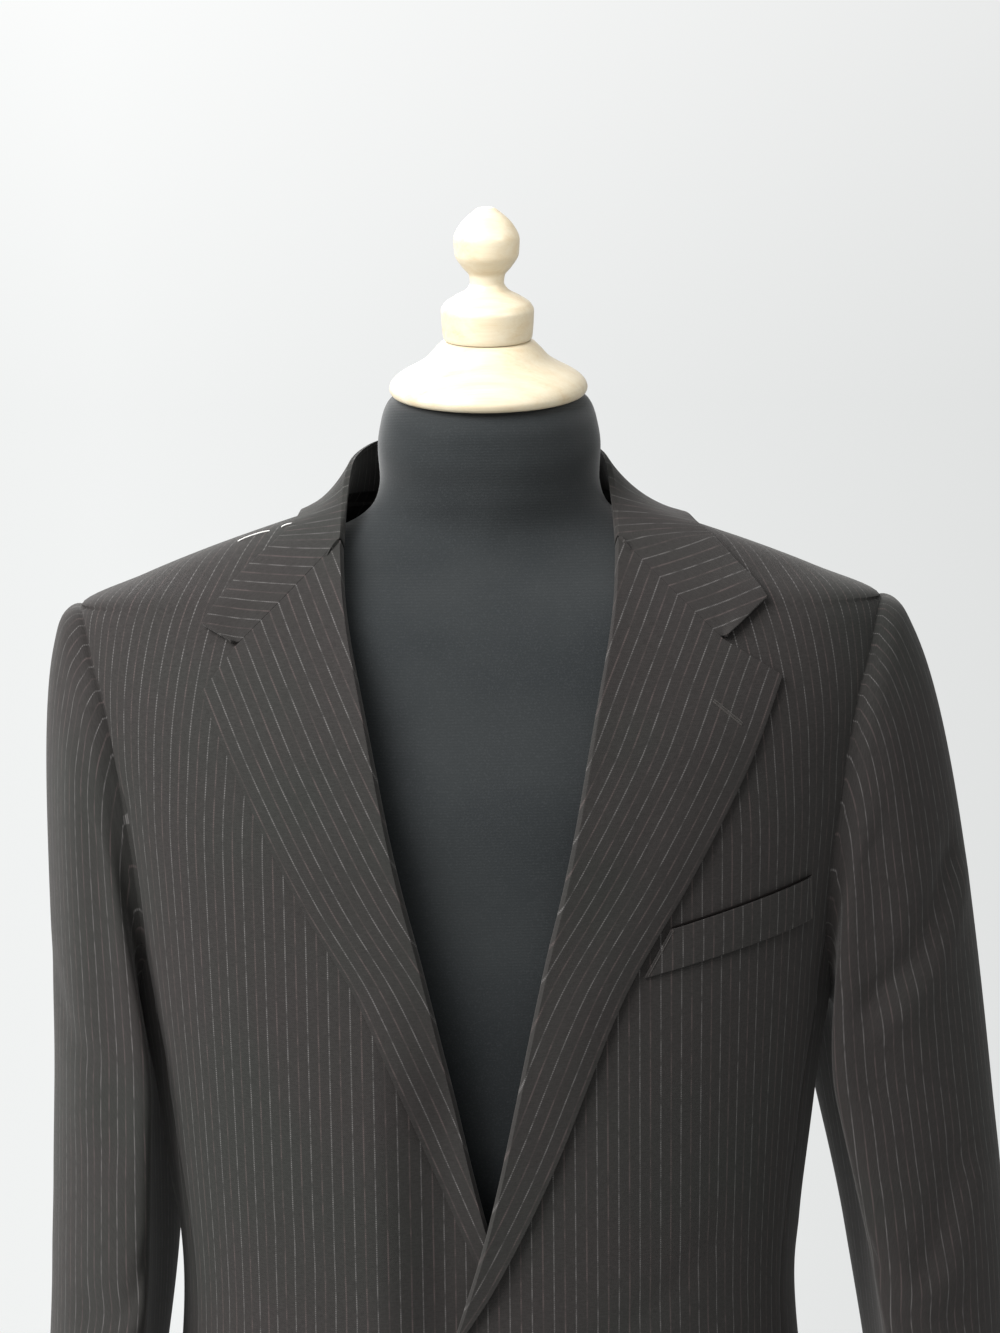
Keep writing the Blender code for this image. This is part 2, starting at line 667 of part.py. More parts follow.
def make_collar():
    falls, stands = [], []
    for side in (1, -1):
        fall, stand = half_collar(side)
        fall = list(placed(fall, side, 0))
        stand = list(placed(stand, side, 0))
        if side < 0:
            fall, stand = fall[::-1][1:], stand[::-1][1:]
        falls += fall
        stands += stand
    shift = np.array([JACKET_SHIFT, 0, 0])
    cloth("collar", [np.array(falls) + shift, np.array(stands) + shift], COLLAR_WALL)


# Sleeves


def armhole_point(angle):
    rows = [(p.angle, p.height, math.radians(p.turn)) for p in ARMHOLE]
    height, turn = smooth([r[0] for r in rows], [r[1:] for r in rows], angle % 360)
    return jacket_point(turn, height, 0.0004)


def sleeve_ring(angle, height, side):
    middle_x, middle_y, half_x, half_y, bow = ring_at(SLEEVE_RINGS[side][::-1], height)
    turn = math.radians(angle)
    return np.array(
        [
            middle_x + half_x * math.cos(turn) - bow * math.sin(turn) ** 2,
            middle_y - half_y * math.sin(turn),
            height,
        ]
    )


def sleeve_column(angle, side):
    """One line down the sleeve: off the armhole, over the sleeve head and down to the cuff."""
    start = armhole_point(angle) + (SEAM_GAP, 0, 0)
    top = SLEEVE_RINGS[side][0].height
    end = sleeve_ring(angle, top, side)
    length = np.linalg.norm(end - start)
    out = np.array([0.36, -0.10 * math.sin(math.radians(angle)), 0.02]) * length
    down = (end - sleeve_ring(angle, top - 0.02, side)) / 0.02
    down = -down * length * 1.15
    column = []
    for t in (0, 0.05, 0.13, 0.23, 0.35, 0.5, 0.68, 0.84, 1):
        ends = (1 + 2 * t) * (1 - t) ** 2 * start + t * t * (3 - 2 * t) * end
        column.append(ends + t * (1 - t) ** 2 * out - t * t * (1 - t) * down)
    return column + [sleeve_ring(angle, h, side) for h in levels(top, SLEEVE_RINGS[side][-1].height, 7)[1:]]


def make_sleeve(side):
    angles = [p.angle for p in ARMHOLE[:-1]]
    upper = [a - 360 for a in angles if a >= BACK_SEAM_ANGLE] + [a for a in angles if a <= FRONT_SEAM_ANGLE]
    under = [a for a in angles if FRONT_SEAM_ANGLE <= a <= BACK_SEAM_ANGLE]
    for name, turns in (("upper", upper), ("under", under)):
        turns = [turns[0], turns[0] + 1, turns[0] + 6, *turns[1:-1], turns[-1] - 6, turns[-1] - 1, turns[-1]]
        grid = np.array([sleeve_column(a, side) for a in turns]).transpose(1, 0, 2)
        for _ in range(2 if name == "under" else 1):
            grid = pull_in(grid, first_column=True, last_column=True)
        cloth(f"sleeve_{name}_{side_name(side)}", placed(grid, side), SLEEVE_WALL, side < 0)


# Pockets and buttons


def make_patch(name, patch, side):
    """A small piece that lies on the jacket's front: bilinear between its four corners."""
    grid = []
    for up in shares(patch.rows):
        inner = np.array(patch.low_inner) * (1 - up) + np.array(patch.high_inner) * up
        outer = np.array(patch.low_outer) * (1 - up) + np.array(patch.high_outer) * up
        across = [inner + (outer - inner) * share for share in shares(patch.columns)]
        grid.append([front_point(x, height, patch.out) for x, height in across])
    cloth(name, placed(grid, side), patch.wall, side < 0)


def make_pockets():
    make_patch("breast_welt", BREAST_WELT, 1)
    for side in (1, -1):
        make_patch(f"hip_flap_{side_name(side)}", HIP_FLAP, side)
        make_patch(f"pocket_jet_{side_name(side)}", POCKET_JET, side)


def add_button(name, button, back, normal):
    """A low cylinder with a bevelled edge, its back at the given point and its face along the normal."""
    bpy.ops.mesh.primitive_cylinder_add(vertices=button.sides, radius=button.radius, depth=button.thickness)
    thing = bpy.context.object
    thing.name = name
    bpy.context.collection.objects.unlink(thing)
    PARTS.objects.link(thing)
    thing.data.materials.append(MATERIALS["horn"])
    x, y, z = normal
    thing.rotation_euler = (0, math.atan2(math.hypot(x, y), z), math.atan2(y, x))
    thing.location = np.array(back) + np.array(normal) * button.thickness / 2
    edge = thing.modifiers.new("edge", "BEVEL")
    edge.width = button.thickness * 0.3
    edge.segments = 1


def make_front_buttons():
    for name, height in (("front_button_top", WAIST_BUTTON_HEIGHT), ("front_button_low", LOW_BUTTON_HEIGHT)):
        back = front_point(0.0, height, BUTTON_SEAT) + (JACKET_SHIFT, 0, 0)
        add_button(name, FRONT_BUTTON, back, (0, -1, 0))


def sleeve_normal(angle, height, side):
    """The sleeve's outward normal, on its outer half."""
    around = sleeve_ring(angle + 1, height, side) - sleeve_ring(angle - 1, height, side)
    down = sleeve_ring(angle, height - 0.001, side) - sleeve_ring(angle, height + 0.001, side)
    normal = np.cross(around, down)
    return normal / np.linalg.norm(normal)


def make_sleeve_buttons():
    for side in (1, -1):
        for number in range(SLEEVE_BUTTONS):
            height = SLEEVE_BUTTON_HEIGHT + SLEEVE_BUTTON_PITCH * number
            normal = sleeve_normal(SLEEVE_BUTTON_ANGLE, height, side)
            back = sleeve_ring(SLEEVE_BUTTON_ANGLE, height, side) + normal * BUTTON_SEAT
            name = f"sleeve_button_{side_name(side)}_{number + 1}"
            add_button(name, SLEEVE_BUTTON, placed(back, side), normal * (side, 1, 1))


# Trousers


def leg_point(share, height, front):
    """Across a front or a back panel: share 0 at the inner edge and 1 at the side seam."""
    centre_x, half_width, depth, back, power = ring_at(LEG_RINGS, height)
    inner = -math.pi / 2
    if centre_x - half_width < SEAM_GAP:
        inner = turn_at(-(centre_x - SEAM_GAP / 2), half_width, power) if centre_x > 0 else 0.0
    turn = inner + (math.pi / 2 - inner) * share
    if not front:
        turn = math.pi - turn
    x, y = section(turn, half_width, depth, back, power)
    return np.array([max(centre_x + x, SEAM_GAP / 2), y, height])


LEG_LEVELS = levels(TROUSER_HEM, CROTCH_HEIGHT, 8) + [0.812, 0.824, 0.840, 0.860, 0.885, 0.915, 0.955, 1.0, 1.045]


def make_trouser_panels():
    for side in (1, -1):
        for front in (True, False):
            rows = []
            for height in LEG_LEVELS:
                wanted = with_edge_strips(7, 0.20)
                row = [leg_point(share, height, front) for share in wanted]
                rows.append(row if front else row[::-1])
            grid = pull_in(rows, first_column=not front, last_column=front)
            grid = pull_in(grid, first_column=front, last_column=not front)
            name = f"trouser_{'front' if front else 'back'}_{side_name(side)}"
            cloth(name, placed(grid, side, 0), TROUSER_WALL, side < 0)


def make_waistband():
    """One band round the waist, open by a seam's width at the centre front."""
    rows = []
    for height in levels(TROUSER_TOP + SEAM_GAP, TROUSER_TOP + WAISTBAND_HEIGHT, 3):
        turns = [2 * math.pi * share for share in shares(AROUND_WAIST + 1)]
        turns[0] += 0.002
        turns[-1] -= 0.002
        rows.append([(*section(turn, *WAIST), height) for turn in turns])
    cloth("waistband", np.array(rows), WAISTBAND_WALL)


def make_fly():
    rows = []
    for height in levels(0.905, 1.040, 6):
        width = 0.036 * min(1, ((height - 0.895) / 0.04)) ** 0.5
        row = []
        for share in shares(4):
            half_width, depth, back, power = ring_at(LEG_RINGS, height)[1:]
            x = 0.0006 + width * share
            turn = turn_at(x, half_width, power)
            point = section(turn, half_width, depth, back, power)
            row.append((point[0], point[1] - 0.0020, height))
        rows.append(row)
    cloth("fly_facing", np.array(rows), 0.0012)


# Dress form and stand


def neck_lean(point):
    """The neck bends forward as it rises."""
    x, y, z = point
    lean = NECK_LEAN * ease(NECK_LEAN_START, NECK_TOP - 0.01, z)
    rise = max(z - NECK_LEAN_START, 0)
    return (x, y * math.cos(lean) - 0.35 * rise * math.sin(lean), z + y * math.sin(lean))


def form_loft(name, rings, around=AROUND_WAIST):
    """A closed body through level sections."""
    rows = []
    for ring in rings:
        row = []
        for share in shares(around + 1)[:-1]:
            x, y = section(2 * math.pi * share, *ring[1:])
            row.append(neck_lean((x, y, ring.height)))
        rows.append(row)
    points = [p for row in rows for p in row]
    faces = [tuple(reversed(range(around)))]
    for i in range(len(rows) - 1):
        for j in range(around):
            a, b = i * around + j, i * around + (j + 1) % around
            faces.append((a, b, b + around, a + around))
    faces.append(tuple(range(len(points) - around, len(points))))
    mesh = bpy.data.meshes.new(name)
    mesh.from_pydata(points, [], faces)
    mesh.shade_smooth()
    return add_object(name, mesh, "form_cloth")


def turned(name, profile, material, steps=24, location=(0, 0, 0), tilt=0.0):
    """A turned piece: the profile runs down its outer side, top to bottom."""
    mesh = bpy.data.meshes.new(name)
    edges = [(i, i + 1) for i in range(len(profile) - 1)]
    mesh.from_pydata([(radius, 0, height) for radius, height in profile], edges, [])
    thing = add_object(name, mesh, material)
    screw = thing.modifiers.new("turned", "SCREW")
    screw.steps = steps
    screw.render_steps = steps
    screw.use_merge_vertices = True
    screw.merge_threshold = 0.00001
    thing.location = location
    thing.rotation_euler = (tilt, 0, 0)
    return thing


def make_neck_cap():
    """The wooden cap and its knob sit square on the leaning neck."""
    centre = np.mean([neck_lean((x, y, NECK_TOP)) for x, y in ((0, 0.043), (0, -0.045))], axis=0)
    seat = (0, float(centre[1]), float(centre[2]) + 0.0003)
    cap = [
        (0, 0.0310), (0.0240, 0.0310), (0.0262, 0.0302), (0.0300, 0.0262), (0.0350, 0.0208), (0.0415, 0.0165),
        (0.0490, 0.0125), (0.0545, 0.0080), (0.0562, 0.0045), (0.0550, 0.0012), (0.0520, 0.0), (0, 0.0),
    ]
    turned("neck_cap", cap, "beech", location=seat, tilt=NECK_LEAN)
    up = np.array([0, -math.sin(NECK_LEAN), math.cos(NECK_LEAN)])
    knob_seat = np.array(seat) + up * 0.0313
    knob = [
        (0, 0.0740), (0.0040, 0.0735), (0.0085, 0.0705), (0.0150, 0.0640), (0.0185, 0.0560), (0.0180, 0.0480),
        (0.0140, 0.0410), (0.0100, 0.0360), (0.0095, 0.0320), (0.0120, 0.0280), (0.0190, 0.0240), (0.0245, 0.0200),
        (0.0262, 0.0160), (0.0256, 0.0080), (0.0246, 0.0), (0, 0.0),
    ]
    turned("neck_knob", knob, "beech", location=tuple(knob_seat), tilt=NECK_LEAN)


def make_stand():
    top = FORM_RINGS[0].height
    base = [
        (0, BASE_THICKNESS), (BASE_RADIUS - 0.006, BASE_THICKNESS), (BASE_RADIUS - 0.002, BASE_THICKNESS - 0.002),
        (BASE_RADIUS, BASE_THICKNESS - 0.006), (BASE_RADIUS, 0.002), (BASE_RADIUS - 0.002, 0.0), (0, 0.0),
    ]
    turned("stand_base", base, "steel", steps=32)
    pole = [(0, top - 0.0003), (POLE_RADIUS, top - 0.0003), (POLE_RADIUS, 0.0), (0, 0.0)]
    foot = BASE_THICKNESS + SEAM_GAP
    pole = [(r, max(z, foot)) for r, z in pole]
    turned("stand_pole", pole, "steel", steps=16, location=(POLE_X, 0, 0))


def make_suit():
    for side in (1, -1):
        make_front(side)
        make_side_panel(side)
        make_back(side)
        make_lapel(side)
        make_sleeve(side)
    make_collar()
    make_pockets()
    make_front_buttons()
    make_sleeve_buttons()
    make_trouser_panels()
    make_waistband()
    make_fly()


make_suit()
form_loft("dress_form", FORM_RINGS)
make_neck_cap()
make_stand()
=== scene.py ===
import bpy
import numpy as np
from mathutils import Matrix, Vector


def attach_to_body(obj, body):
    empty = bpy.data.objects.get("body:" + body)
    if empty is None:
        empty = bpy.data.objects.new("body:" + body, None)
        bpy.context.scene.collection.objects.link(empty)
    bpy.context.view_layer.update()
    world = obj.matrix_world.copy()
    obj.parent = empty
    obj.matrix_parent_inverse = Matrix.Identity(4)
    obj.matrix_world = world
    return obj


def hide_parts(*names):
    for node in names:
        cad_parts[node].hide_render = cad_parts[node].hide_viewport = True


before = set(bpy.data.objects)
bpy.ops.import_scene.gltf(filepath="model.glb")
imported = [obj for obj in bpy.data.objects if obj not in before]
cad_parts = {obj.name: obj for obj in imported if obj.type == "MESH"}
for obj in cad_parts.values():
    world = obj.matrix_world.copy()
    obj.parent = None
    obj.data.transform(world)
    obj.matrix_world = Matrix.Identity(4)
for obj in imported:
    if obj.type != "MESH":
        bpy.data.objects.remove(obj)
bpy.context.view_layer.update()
print("frame loaded")


# ---- curves and sections

def smoothCurve(stations, values, at):
    # monotone cubic: the ends and slopes of each span, blended by the Hermite cubics; the slope at a
    # station is the harmonic mean of the two rises beside it, or nothing where the curve turns
    x = np.asarray(stations, float)
    y = np.asarray(values, float).reshape(len(x), -1)
    step = np.diff(x)[:, None]
    rise = np.diff(y, axis=0) / step
    slope = np.empty_like(y)
    slope[0], slope[-1] = rise[0], rise[-1]
    sameWay = rise[:-1] * rise[1:] > 0
    total = np.where(sameWay, rise[:-1] + rise[1:], 1)
    slope[1:-1] = np.where(sameWay, 2 * rise[:-1] * rise[1:] / total, 0)
    at = np.asarray(at, float)
    i = np.clip(np.searchsorted(x, at) - 1, 0, len(x) - 2)
    t = np.clip((at - x[i]) / step[i, 0], 0, 1)[..., None]
    found = (1 + 2 * t) * (1 - t) ** 2 * y[i] + t * t * (3 - 2 * t) * y[i + 1]
    found = found + step[i] * (t * (1 - t) ** 2 * slope[i] - t * t * (1 - t) * slope[i + 1])
    return found[..., 0] if np.ndim(values) == 1 else found


def ease(low, high, value):
    # 0 below low, 1 above high, smooth between
    t = np.clip((np.asarray(value, float) - low) / (high - low), 0, 1)
    return t * t * (3 - 2 * t)


def ringAt(rings, height):
    # every column of a table of level sections, read at these heights
    rings = np.asarray(rings, float)
    return tuple(np.moveaxis(smoothCurve(rings[:, 0], rings[:, 1:], height), -1, 0))


def section(turn, halfWidth, front, back, power=2.3):
    # squared ellipse: sine and cosine raised to 2 over the power, times the half sizes; turn 0 is the front
    across, along = np.sin(turn), np.cos(turn)
    x = np.sign(across) * halfWidth * np.abs(across) ** (2 / power)
    depth = np.where(along > 0, front, back)
    return x, -np.sign(along) * depth * np.abs(along) ** (2 / power)


def turnAt(x, halfWidth, power=2.3):
    # the turn of the front half that has this x
    return np.sign(x) * np.arcsin(np.clip(np.abs(x) / halfWidth, 0, 1) ** (power / 2))


def lineAt(points, height):
    # x of a drawn line of (height, x) points
    points = np.array(sorted(map(tuple, points)), float)
    return smoothCurve(points[:, 0], points[:, 1], height)


def straightAt(low, high, height):
    return low[1] + (high[1] - low[1]) * (height - low[0]) / (high[0] - low[0])


def runs(grid, axis):
    # length gained along a grid's rows (axis 1) or columns (axis 0), from its first point
    chord = np.linalg.norm(np.diff(grid, axis=axis), axis=2)
    gained = np.cumsum(chord, axis=axis)
    first = np.zeros_like(np.take(gained, [0], axis=axis))
    return np.concatenate([first, gained], axis=axis)


def edged(count, width, strip=0.0011):
    # shares from 0 to 1 with a narrow strip at both ends
    thin = min(strip / max(width, 1e-6), 0.1)
    return np.concatenate([[0, thin], np.linspace(0, 1, count)[1:-1], [1 - thin, 1]])


def creases(across, up, lines):
    # sum of soft troughs and ridges: depth times the bell curve of the distance from a drawn line
    found = np.zeros(np.broadcast(across, up).shape)
    for depth, width, *points in lines:
        near = np.full(found.shape, 9.0)
        for (x0, y0), (x1, y1) in zip(points[:-1], points[1:]):
            dx, dy = x1 - x0, y1 - y0
            t = np.clip(((across - x0) * dx + (up - y0) * dy) / (dx * dx + dy * dy), 0, 1)
            near = np.minimum(near, np.hypot(across - x0 - t * dx, up - y0 - t * dy))
        found += depth * np.exp(-(near / width) ** 2)
    return found


# ---- meshes

def gridFaces(rows, columns, start=0, flip=False, around=False):
    # quads between neighbouring rows and columns of a grid, as one array
    i = np.arange(rows - 1)[:, None]
    j = np.arange(columns if around else columns - 1)[None, :]
    k = (j + 1) % columns
    a, b = i * columns + j, i * columns + k
    faces = np.stack([a, b, b + columns, a + columns], axis=-1).reshape(-1, 4) + start
    return faces[:, ::-1] if flip else faces


def closedFaces(rows, columns, flip=False):
    # a grid closed around, with a fan to each of the two poles that follow its points
    count, one = rows * columns, np.arange(columns)
    two = (one + 1) % columns
    if flip:
        one, two = two, one
    last = count - columns
    faces = gridFaces(rows, columns, 0, flip, True).tolist()
    faces += [[count, int(b), int(a)] for a, b in zip(one, two)]
    return faces + [[count + 1, int(a), int(b)] for a, b in zip(one + last, two + last)]


def named(words, side=0):
    # a piece's name and its node's: "jacket front" gives jacketFrontLeft and jacket_front_left
    words = words.split() + {0: [], 1: ["left"], -1: ["right"]}[side]
    return words[0] + "".join(word.title() for word in words[1:]), "_".join(words)


def addPiece(name, points, faces, uv=None, finish=None):
    mesh = bpy.data.meshes.new(name)
    mesh.from_pydata(np.asarray(points).reshape(-1, 3).tolist(), [], [list(map(int, f)) for f in faces])
    if uv is not None:
        corner = np.empty(len(mesh.loops), np.int32)
        mesh.loops.foreach_get("vertex_index", corner)
        layer = mesh.uv_layers.new(name="cloth")
        layer.data.foreach_set("uv", np.asarray(uv, float).reshape(-1, 2)[corner].ravel())
    mesh.shade_smooth()
    piece = bpy.data.objects.new(name, mesh)
    bpy.context.scene.collection.objects.link(piece)
    if finish is not None:
        mesh.materials.append(finish)
    return piece


cuts = {  # flat width, length and area, how it is held, what it rests on
    "jacket front": (0.300, 0.800, 0.190, "hung", ["dress_form"]),
    "jacket side": (0.150, 0.500, 0.062, "hung", ["dress_form"]),
    "jacket back": (0.290, 0.800, 0.185, "hung", ["dress_form"]),
    "lapel": (0.115, 0.470, 0.027, "folded", ["jacketFront{}"]),
    "collar": (0.670, 0.100, 0.044, "folded", ["jacketBackLeft", "jacketBackRight"]),
    "sleeve upper": (0.300, 0.700, 0.150, "hung", ["jacketFront{}"]),
    "sleeve under": (0.160, 0.560, 0.066, "hung", ["jacketFront{}"]),
    "breast welt": (0.105, 0.028, 0.0025, "laid", ["jacketFrontLeft"]),
    "hip flap": (0.134, 0.056, 0.0071, "laid", ["jacketFront{}"]),
    "pocket jet": (0.130, 0.010, 0.0008, "laid", ["jacketFront{}"]),
    "trouser front": (0.260, 1.040, 0.225, "hung", ["waistband"]),
    "trouser back": (0.260, 1.040, 0.225, "hung", ["waistband"]),
    "waistband": (0.850, 0.040, 0.031, "hung", ["dress_form"]),
    "fly facing": (0.037, 0.136, 0.0046, "laid", ["trouserFrontLeft"]),
}
# cloth with no twin on the other side
unpaired = ("collar", "breast welt", "waistband", "fly facing")


def sew(words, side, grids, maps, wall, edge=0.0005, shift=0.0):
    # a shell: the grids are the cloth's face, made on the wearer's left, and Solidify puts its wall behind.
    # It rides on the form and stands for its CAD node.
    name, node = named(words, 0 if words in unpaired else side)
    points, uv, faces, start = [], [], [], 0
    for grid, flat in zip(grids, maps):
        grid = np.array(grid, float) * (side, 1, 1) + (shift, 0, 0)
        points.append(grid.reshape(-1, 3))
        uv.append(np.asarray(flat, float).reshape(-1, 2))
        faces.append(gridFaces(*grid.shape[:2], start, side < 0))
        start += len(points[-1])
    piece = addPiece(name, np.concatenate(points), np.concatenate(faces), np.concatenate(uv), suitCloth)
    if len(grids) > 1:
        piece.modifiers.new("weld", "WELD").merge_threshold = 0.00004
    shell = piece.modifiers.new("wall", "SOLIDIFY")
    shell.thickness, shell.offset = wall, -1
    soft = piece.modifiers.new("softEdge", "BEVEL")
    soft.width, soft.segments = edge, 2
    soft.limit_method, soft.angle_limit = "ANGLE", 0.9
    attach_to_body(piece, "root")
    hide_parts(node)
    width, length, area, held, rests = cuts[words]
    rests = [name.format("Left" if side > 0 else "Right") for name in rests]


def attach(name, shape, finish, node=None):
    # a small or solid piece from its points and faces
    piece = addPiece(name, *shape, None, finish)
    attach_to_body(piece, "root")
    if node:
        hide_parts(node)


def closedTurn(profile, steps, middle, axes, rise=None):
    # a profile of (radius, height) turned about its axis, with one point at each pole; rise adds height
    # where a piece has hollows. Gives points and faces.
    profile = np.asarray(profile, float)
    angle = np.linspace(0, 2 * np.pi, steps, endpoint=False)[None, :]
    radius, height = profile[1:-1, 0][:, None], profile[1:-1, 1][:, None]
    body = np.stack([radius * np.cos(angle), radius * np.sin(angle), height + 0 * angle], axis=-1)
    if rise is not None:
        body[..., 2] += rise(body)
    poles = np.array([[0, 0, profile[0, 1]], [0, 0, profile[-1, 1]]])
    points = np.concatenate([body.reshape(-1, 3), poles]) @ np.asarray(axes)
    return points + np.asarray(middle, float), closedFaces(len(profile) - 2, steps, True)


def tube(path, radius, sides=10):
    # a round section carried along a path, closed at its ends; the radius may change from point to point
    path = np.asarray(path, float)
    along = np.gradient(path, axis=0)
    along /= np.linalg.norm(along, axis=1, keepdims=True)
    helper = np.array([0.13, 0.31, 0.94])
    first = np.cross(along, helper)
    first /= np.linalg.norm(first, axis=1, keepdims=True)
    second = np.cross(along, first)
    angle = np.linspace(0, 2 * np.pi, sides, endpoint=False)
    radius = np.broadcast_to(radius, len(path))[:, None, None]
    ring = first[:, None] * np.cos(angle)[None, :, None] + second[:, None] * np.sin(angle)[None, :, None]
    body = path[:, None] + radius * ring
    return np.concatenate([body.reshape(-1, 3), path[:1], path[-1:]]), closedFaces(len(path), sides)


def joined(parts):
    # several closed shapes as the points and faces of one
    points, faces, start = [], [], 0
    for somePoints, someFaces in parts:
        points.append(somePoints)
        faces += [[int(v) + start for v in face] for face in someFaces]
        start += len(somePoints)
    return np.concatenate(points), faces


# ---- finishes

class Value:
    # a number or colour carried by a socket; arithmetic on it adds the Math node that does it
    def __init__(self, finish, socket):
        self.finish, self.socket = finish, socket

    def maths(self, operation, *inputs):
        return self.finish.node("ShaderNodeMath", {"operation": operation}, dict(enumerate(inputs)))

    def __add__(self, other):
        return self.maths("ADD", self, other)

    def __radd__(self, other):
        return self.maths("ADD", other, self)

    def __sub__(self, other):
        return self.maths("SUBTRACT", self, other)

    def __rsub__(self, other):
        return self.maths("SUBTRACT", other, self)

    def __mul__(self, other):
        return self.maths("MULTIPLY", self, other)

    def __rmul__(self, other):
        return self.maths("MULTIPLY", other, self)

    def __truediv__(self, other):
        return self.maths("DIVIDE", self, other)

    def __abs__(self):
        return self.maths("ABSOLUTE", self)

    def fraction(self):
        return self.maths("FRACT", self)

    def sine(self):
        return self.maths("SINE", self)

    def between(self, low, high, start=0.0, end=1.0):
        # smooth step from start at low to end at high
        return self.finish.node(
            "ShaderNodeMapRange", {"interpolation_type": "SMOOTHSTEP"},
            {0: self, 1: low, 2: high, 3: start, 4: end})


class Finish:
    # one material: its node method takes a node's type, its settings and its sockets' values or links
    def __init__(self, name, **constants):
        self.material = bpy.data.materials.new(name)
        self.material.use_nodes = True
        self.tree = self.material.node_tree
        self.shader = self.tree.nodes["Principled BSDF"]
        for socket, value in constants.items():
            self.shader.inputs[socket.replace("_", " ")].default_value = value

    def node(self, kind, settings=None, sockets=None, output=0):
        made = self.tree.nodes.new(kind)
        for key, value in (settings or {}).items():
            if key == "stops":
                ramp = made.color_ramp
                while len(ramp.elements) < len(value):
                    ramp.elements.new(0.5)
                for element, (place, colour) in zip(ramp.elements, value):
                    element.position = place
                    element.color = (*colour, 1)
            else:
                setattr(made, key, value)
        for key, value in (sockets or {}).items():
            if isinstance(value, Value):
                self.tree.links.new(value.socket, made.inputs[key])
            else:
                made.inputs[key].default_value = value
        if isinstance(output, tuple):
            return tuple(Value(self, made.outputs[o]) for o in output)
        return Value(self, made.outputs[output])

    def put(self, **links):
        for socket, value in links.items():
            self.tree.links.new(value.socket, self.shader.inputs[socket.replace("_", " ")])
        return self.material

    def mix(self, share, first, second, blend="MIX"):
        # colours blended by a share
        return self.node(
            "ShaderNodeMix", {"data_type": "RGBA", "blend_type": blend, "clamp_factor": True},
            {0: share, 6: first, 7: second}, 2)

    def stretch(self, vector, scale, turn=(0, 0, 0)):
        return self.node("ShaderNodeMapping", None, {"Vector": vector, "Rotation": turn, "Scale": scale})

    def place(self, scale=(1, 1, 1)):
        return self.stretch(self.node("ShaderNodeTexCoord", output="Object"), scale)

    def split(self, vector, axes):
        return self.node("ShaderNodeSeparateXYZ", None, {0: vector}, tuple(axes))

    def noise(self, vector, scale, detail=3.0, roughness=0.55):
        return self.node(
            "ShaderNodeTexNoise", None,
            {"Vector": vector, "Scale": scale, "Detail": detail, "Roughness": roughness})

    def bump(self, height, strength, distance):
        return self.node(
            "ShaderNodeBump", None, {"Height": height, "Strength": strength, "Distance": distance})


suitLook = {
    "brown": (0.0200, 0.0179, 0.0172),
    "green": (0.0180, 0.0184, 0.0168),
    "stripe": (0.098, 0.094, 0.092),
    "faintStripe": (0.064, 0.050, 0.048),
    "pitch": 0.0118,
    "stripeWidth": 0.00064,
    "dot": 0.00115,
    "twill": 0.0010,
    "roughness": 0.82,
    "sheen": 0.10,
}


def suitFinish():
    # worsted: two ground tones in soft clouds, warp streaks, dotted light stripes with a fainter one midway
    look = suitLook
    f = Finish("suitCloth", Roughness=look["roughness"], Sheen_Weight=look["sheen"], Sheen_Roughness=0.45,
               Specular_IOR_Level=0.15)
    f.shader.inputs["Sheen Tint"].default_value = (0.86, 0.84, 0.82, 1)
    flat = f.node("ShaderNodeUVMap", {"uv_map": "cloth"})
    u, v = f.split(flat, "XY")
    spot = f.place()
    cloud = f.noise(spot, 7.0, 2.0)
    ground = f.mix(cloud.between(0.36, 0.64), (*look["brown"], 1), (*look["green"], 1))
    streak = f.noise(f.stretch(flat, (1900, 260, 1)), 1.0, 2.0)
    slub = f.noise(f.stretch(flat, (300, 1150, 1)), 1.0, 2.0)
    melange = 0.40 + streak * 0.40 + slub * 0.80
    ground = f.node("ShaderNodeVectorMath", {"operation": "SCALE"}, {0: ground, "Scale": melange})

    def lines(offset, width):
        # 1 on lines a pitch apart, fading over the middle half of their half width
        away = abs((u / look["pitch"] + offset).fraction() - 0.5) * look["pitch"]
        return 1 - away.between(width * 0.25, width * 0.75)

    dots = 0.5 + 0.5 * (v * (2 * np.pi / look["dot"])).sine()
    wear = f.noise(f.stretch(flat, (85, 110, 1)), 1.0, 3.0)
    strong = lines(0.5, look["stripeWidth"]) * (0.25 + 0.75 * dots) * wear.between(0.34, 0.60, 0.18, 1.0)
    faint = lines(0.0, look["stripeWidth"] * 1.2) * (0.35 + 0.50 * dots) * wear.between(0.36, 0.62, 1.0, 0.25)
    colour = f.mix(faint, ground, (*look["faintStripe"], 1))
    colour = f.mix(strong, colour, (*look["stripe"], 1))
    twill = ((u + v) * (2 * np.pi / look["twill"])).sine() * 0.5 + 0.5
    nap = f.noise(spot, 900.0, 2.0)
    height = twill * 0.30 + nap * 0.35 + streak * 0.35 + strong * 0.3
    return f.put(Base_Color=colour, Roughness=0.74 + nap * 0.16, Normal=f.bump(height, 0.35, 0.0004))


def jerseyFinish():
    # knitted form cover: fine level rows of stitches in a slightly bluish black
    f = Finish("formJersey", Roughness=0.9, Sheen_Weight=0.35, Sheen_Roughness=0.4, Specular_IOR_Level=0.2)
    spot = f.place()
    z, = f.split(spot, "Z")
    cloud = f.noise(spot, 14.0, 3.0)
    knit = (z * (2 * np.pi / 0.0016)).sine() * 0.5 + 0.5
    grain = f.noise(spot, 1100.0, 2.0)
    colour = f.mix(cloud.between(0.3, 0.7), (0.0120, 0.0145, 0.0158, 1), (0.0160, 0.0185, 0.0195, 1))
    colour = f.mix(grain.between(0.45, 0.75) * 0.5, colour, (0.030, 0.033, 0.035, 1))
    return f.put(Base_Color=colour, Roughness=0.80 + grain * 0.15,
                 Normal=f.bump(knit * 0.3 + grain * 0.7, 0.3, 0.0004))


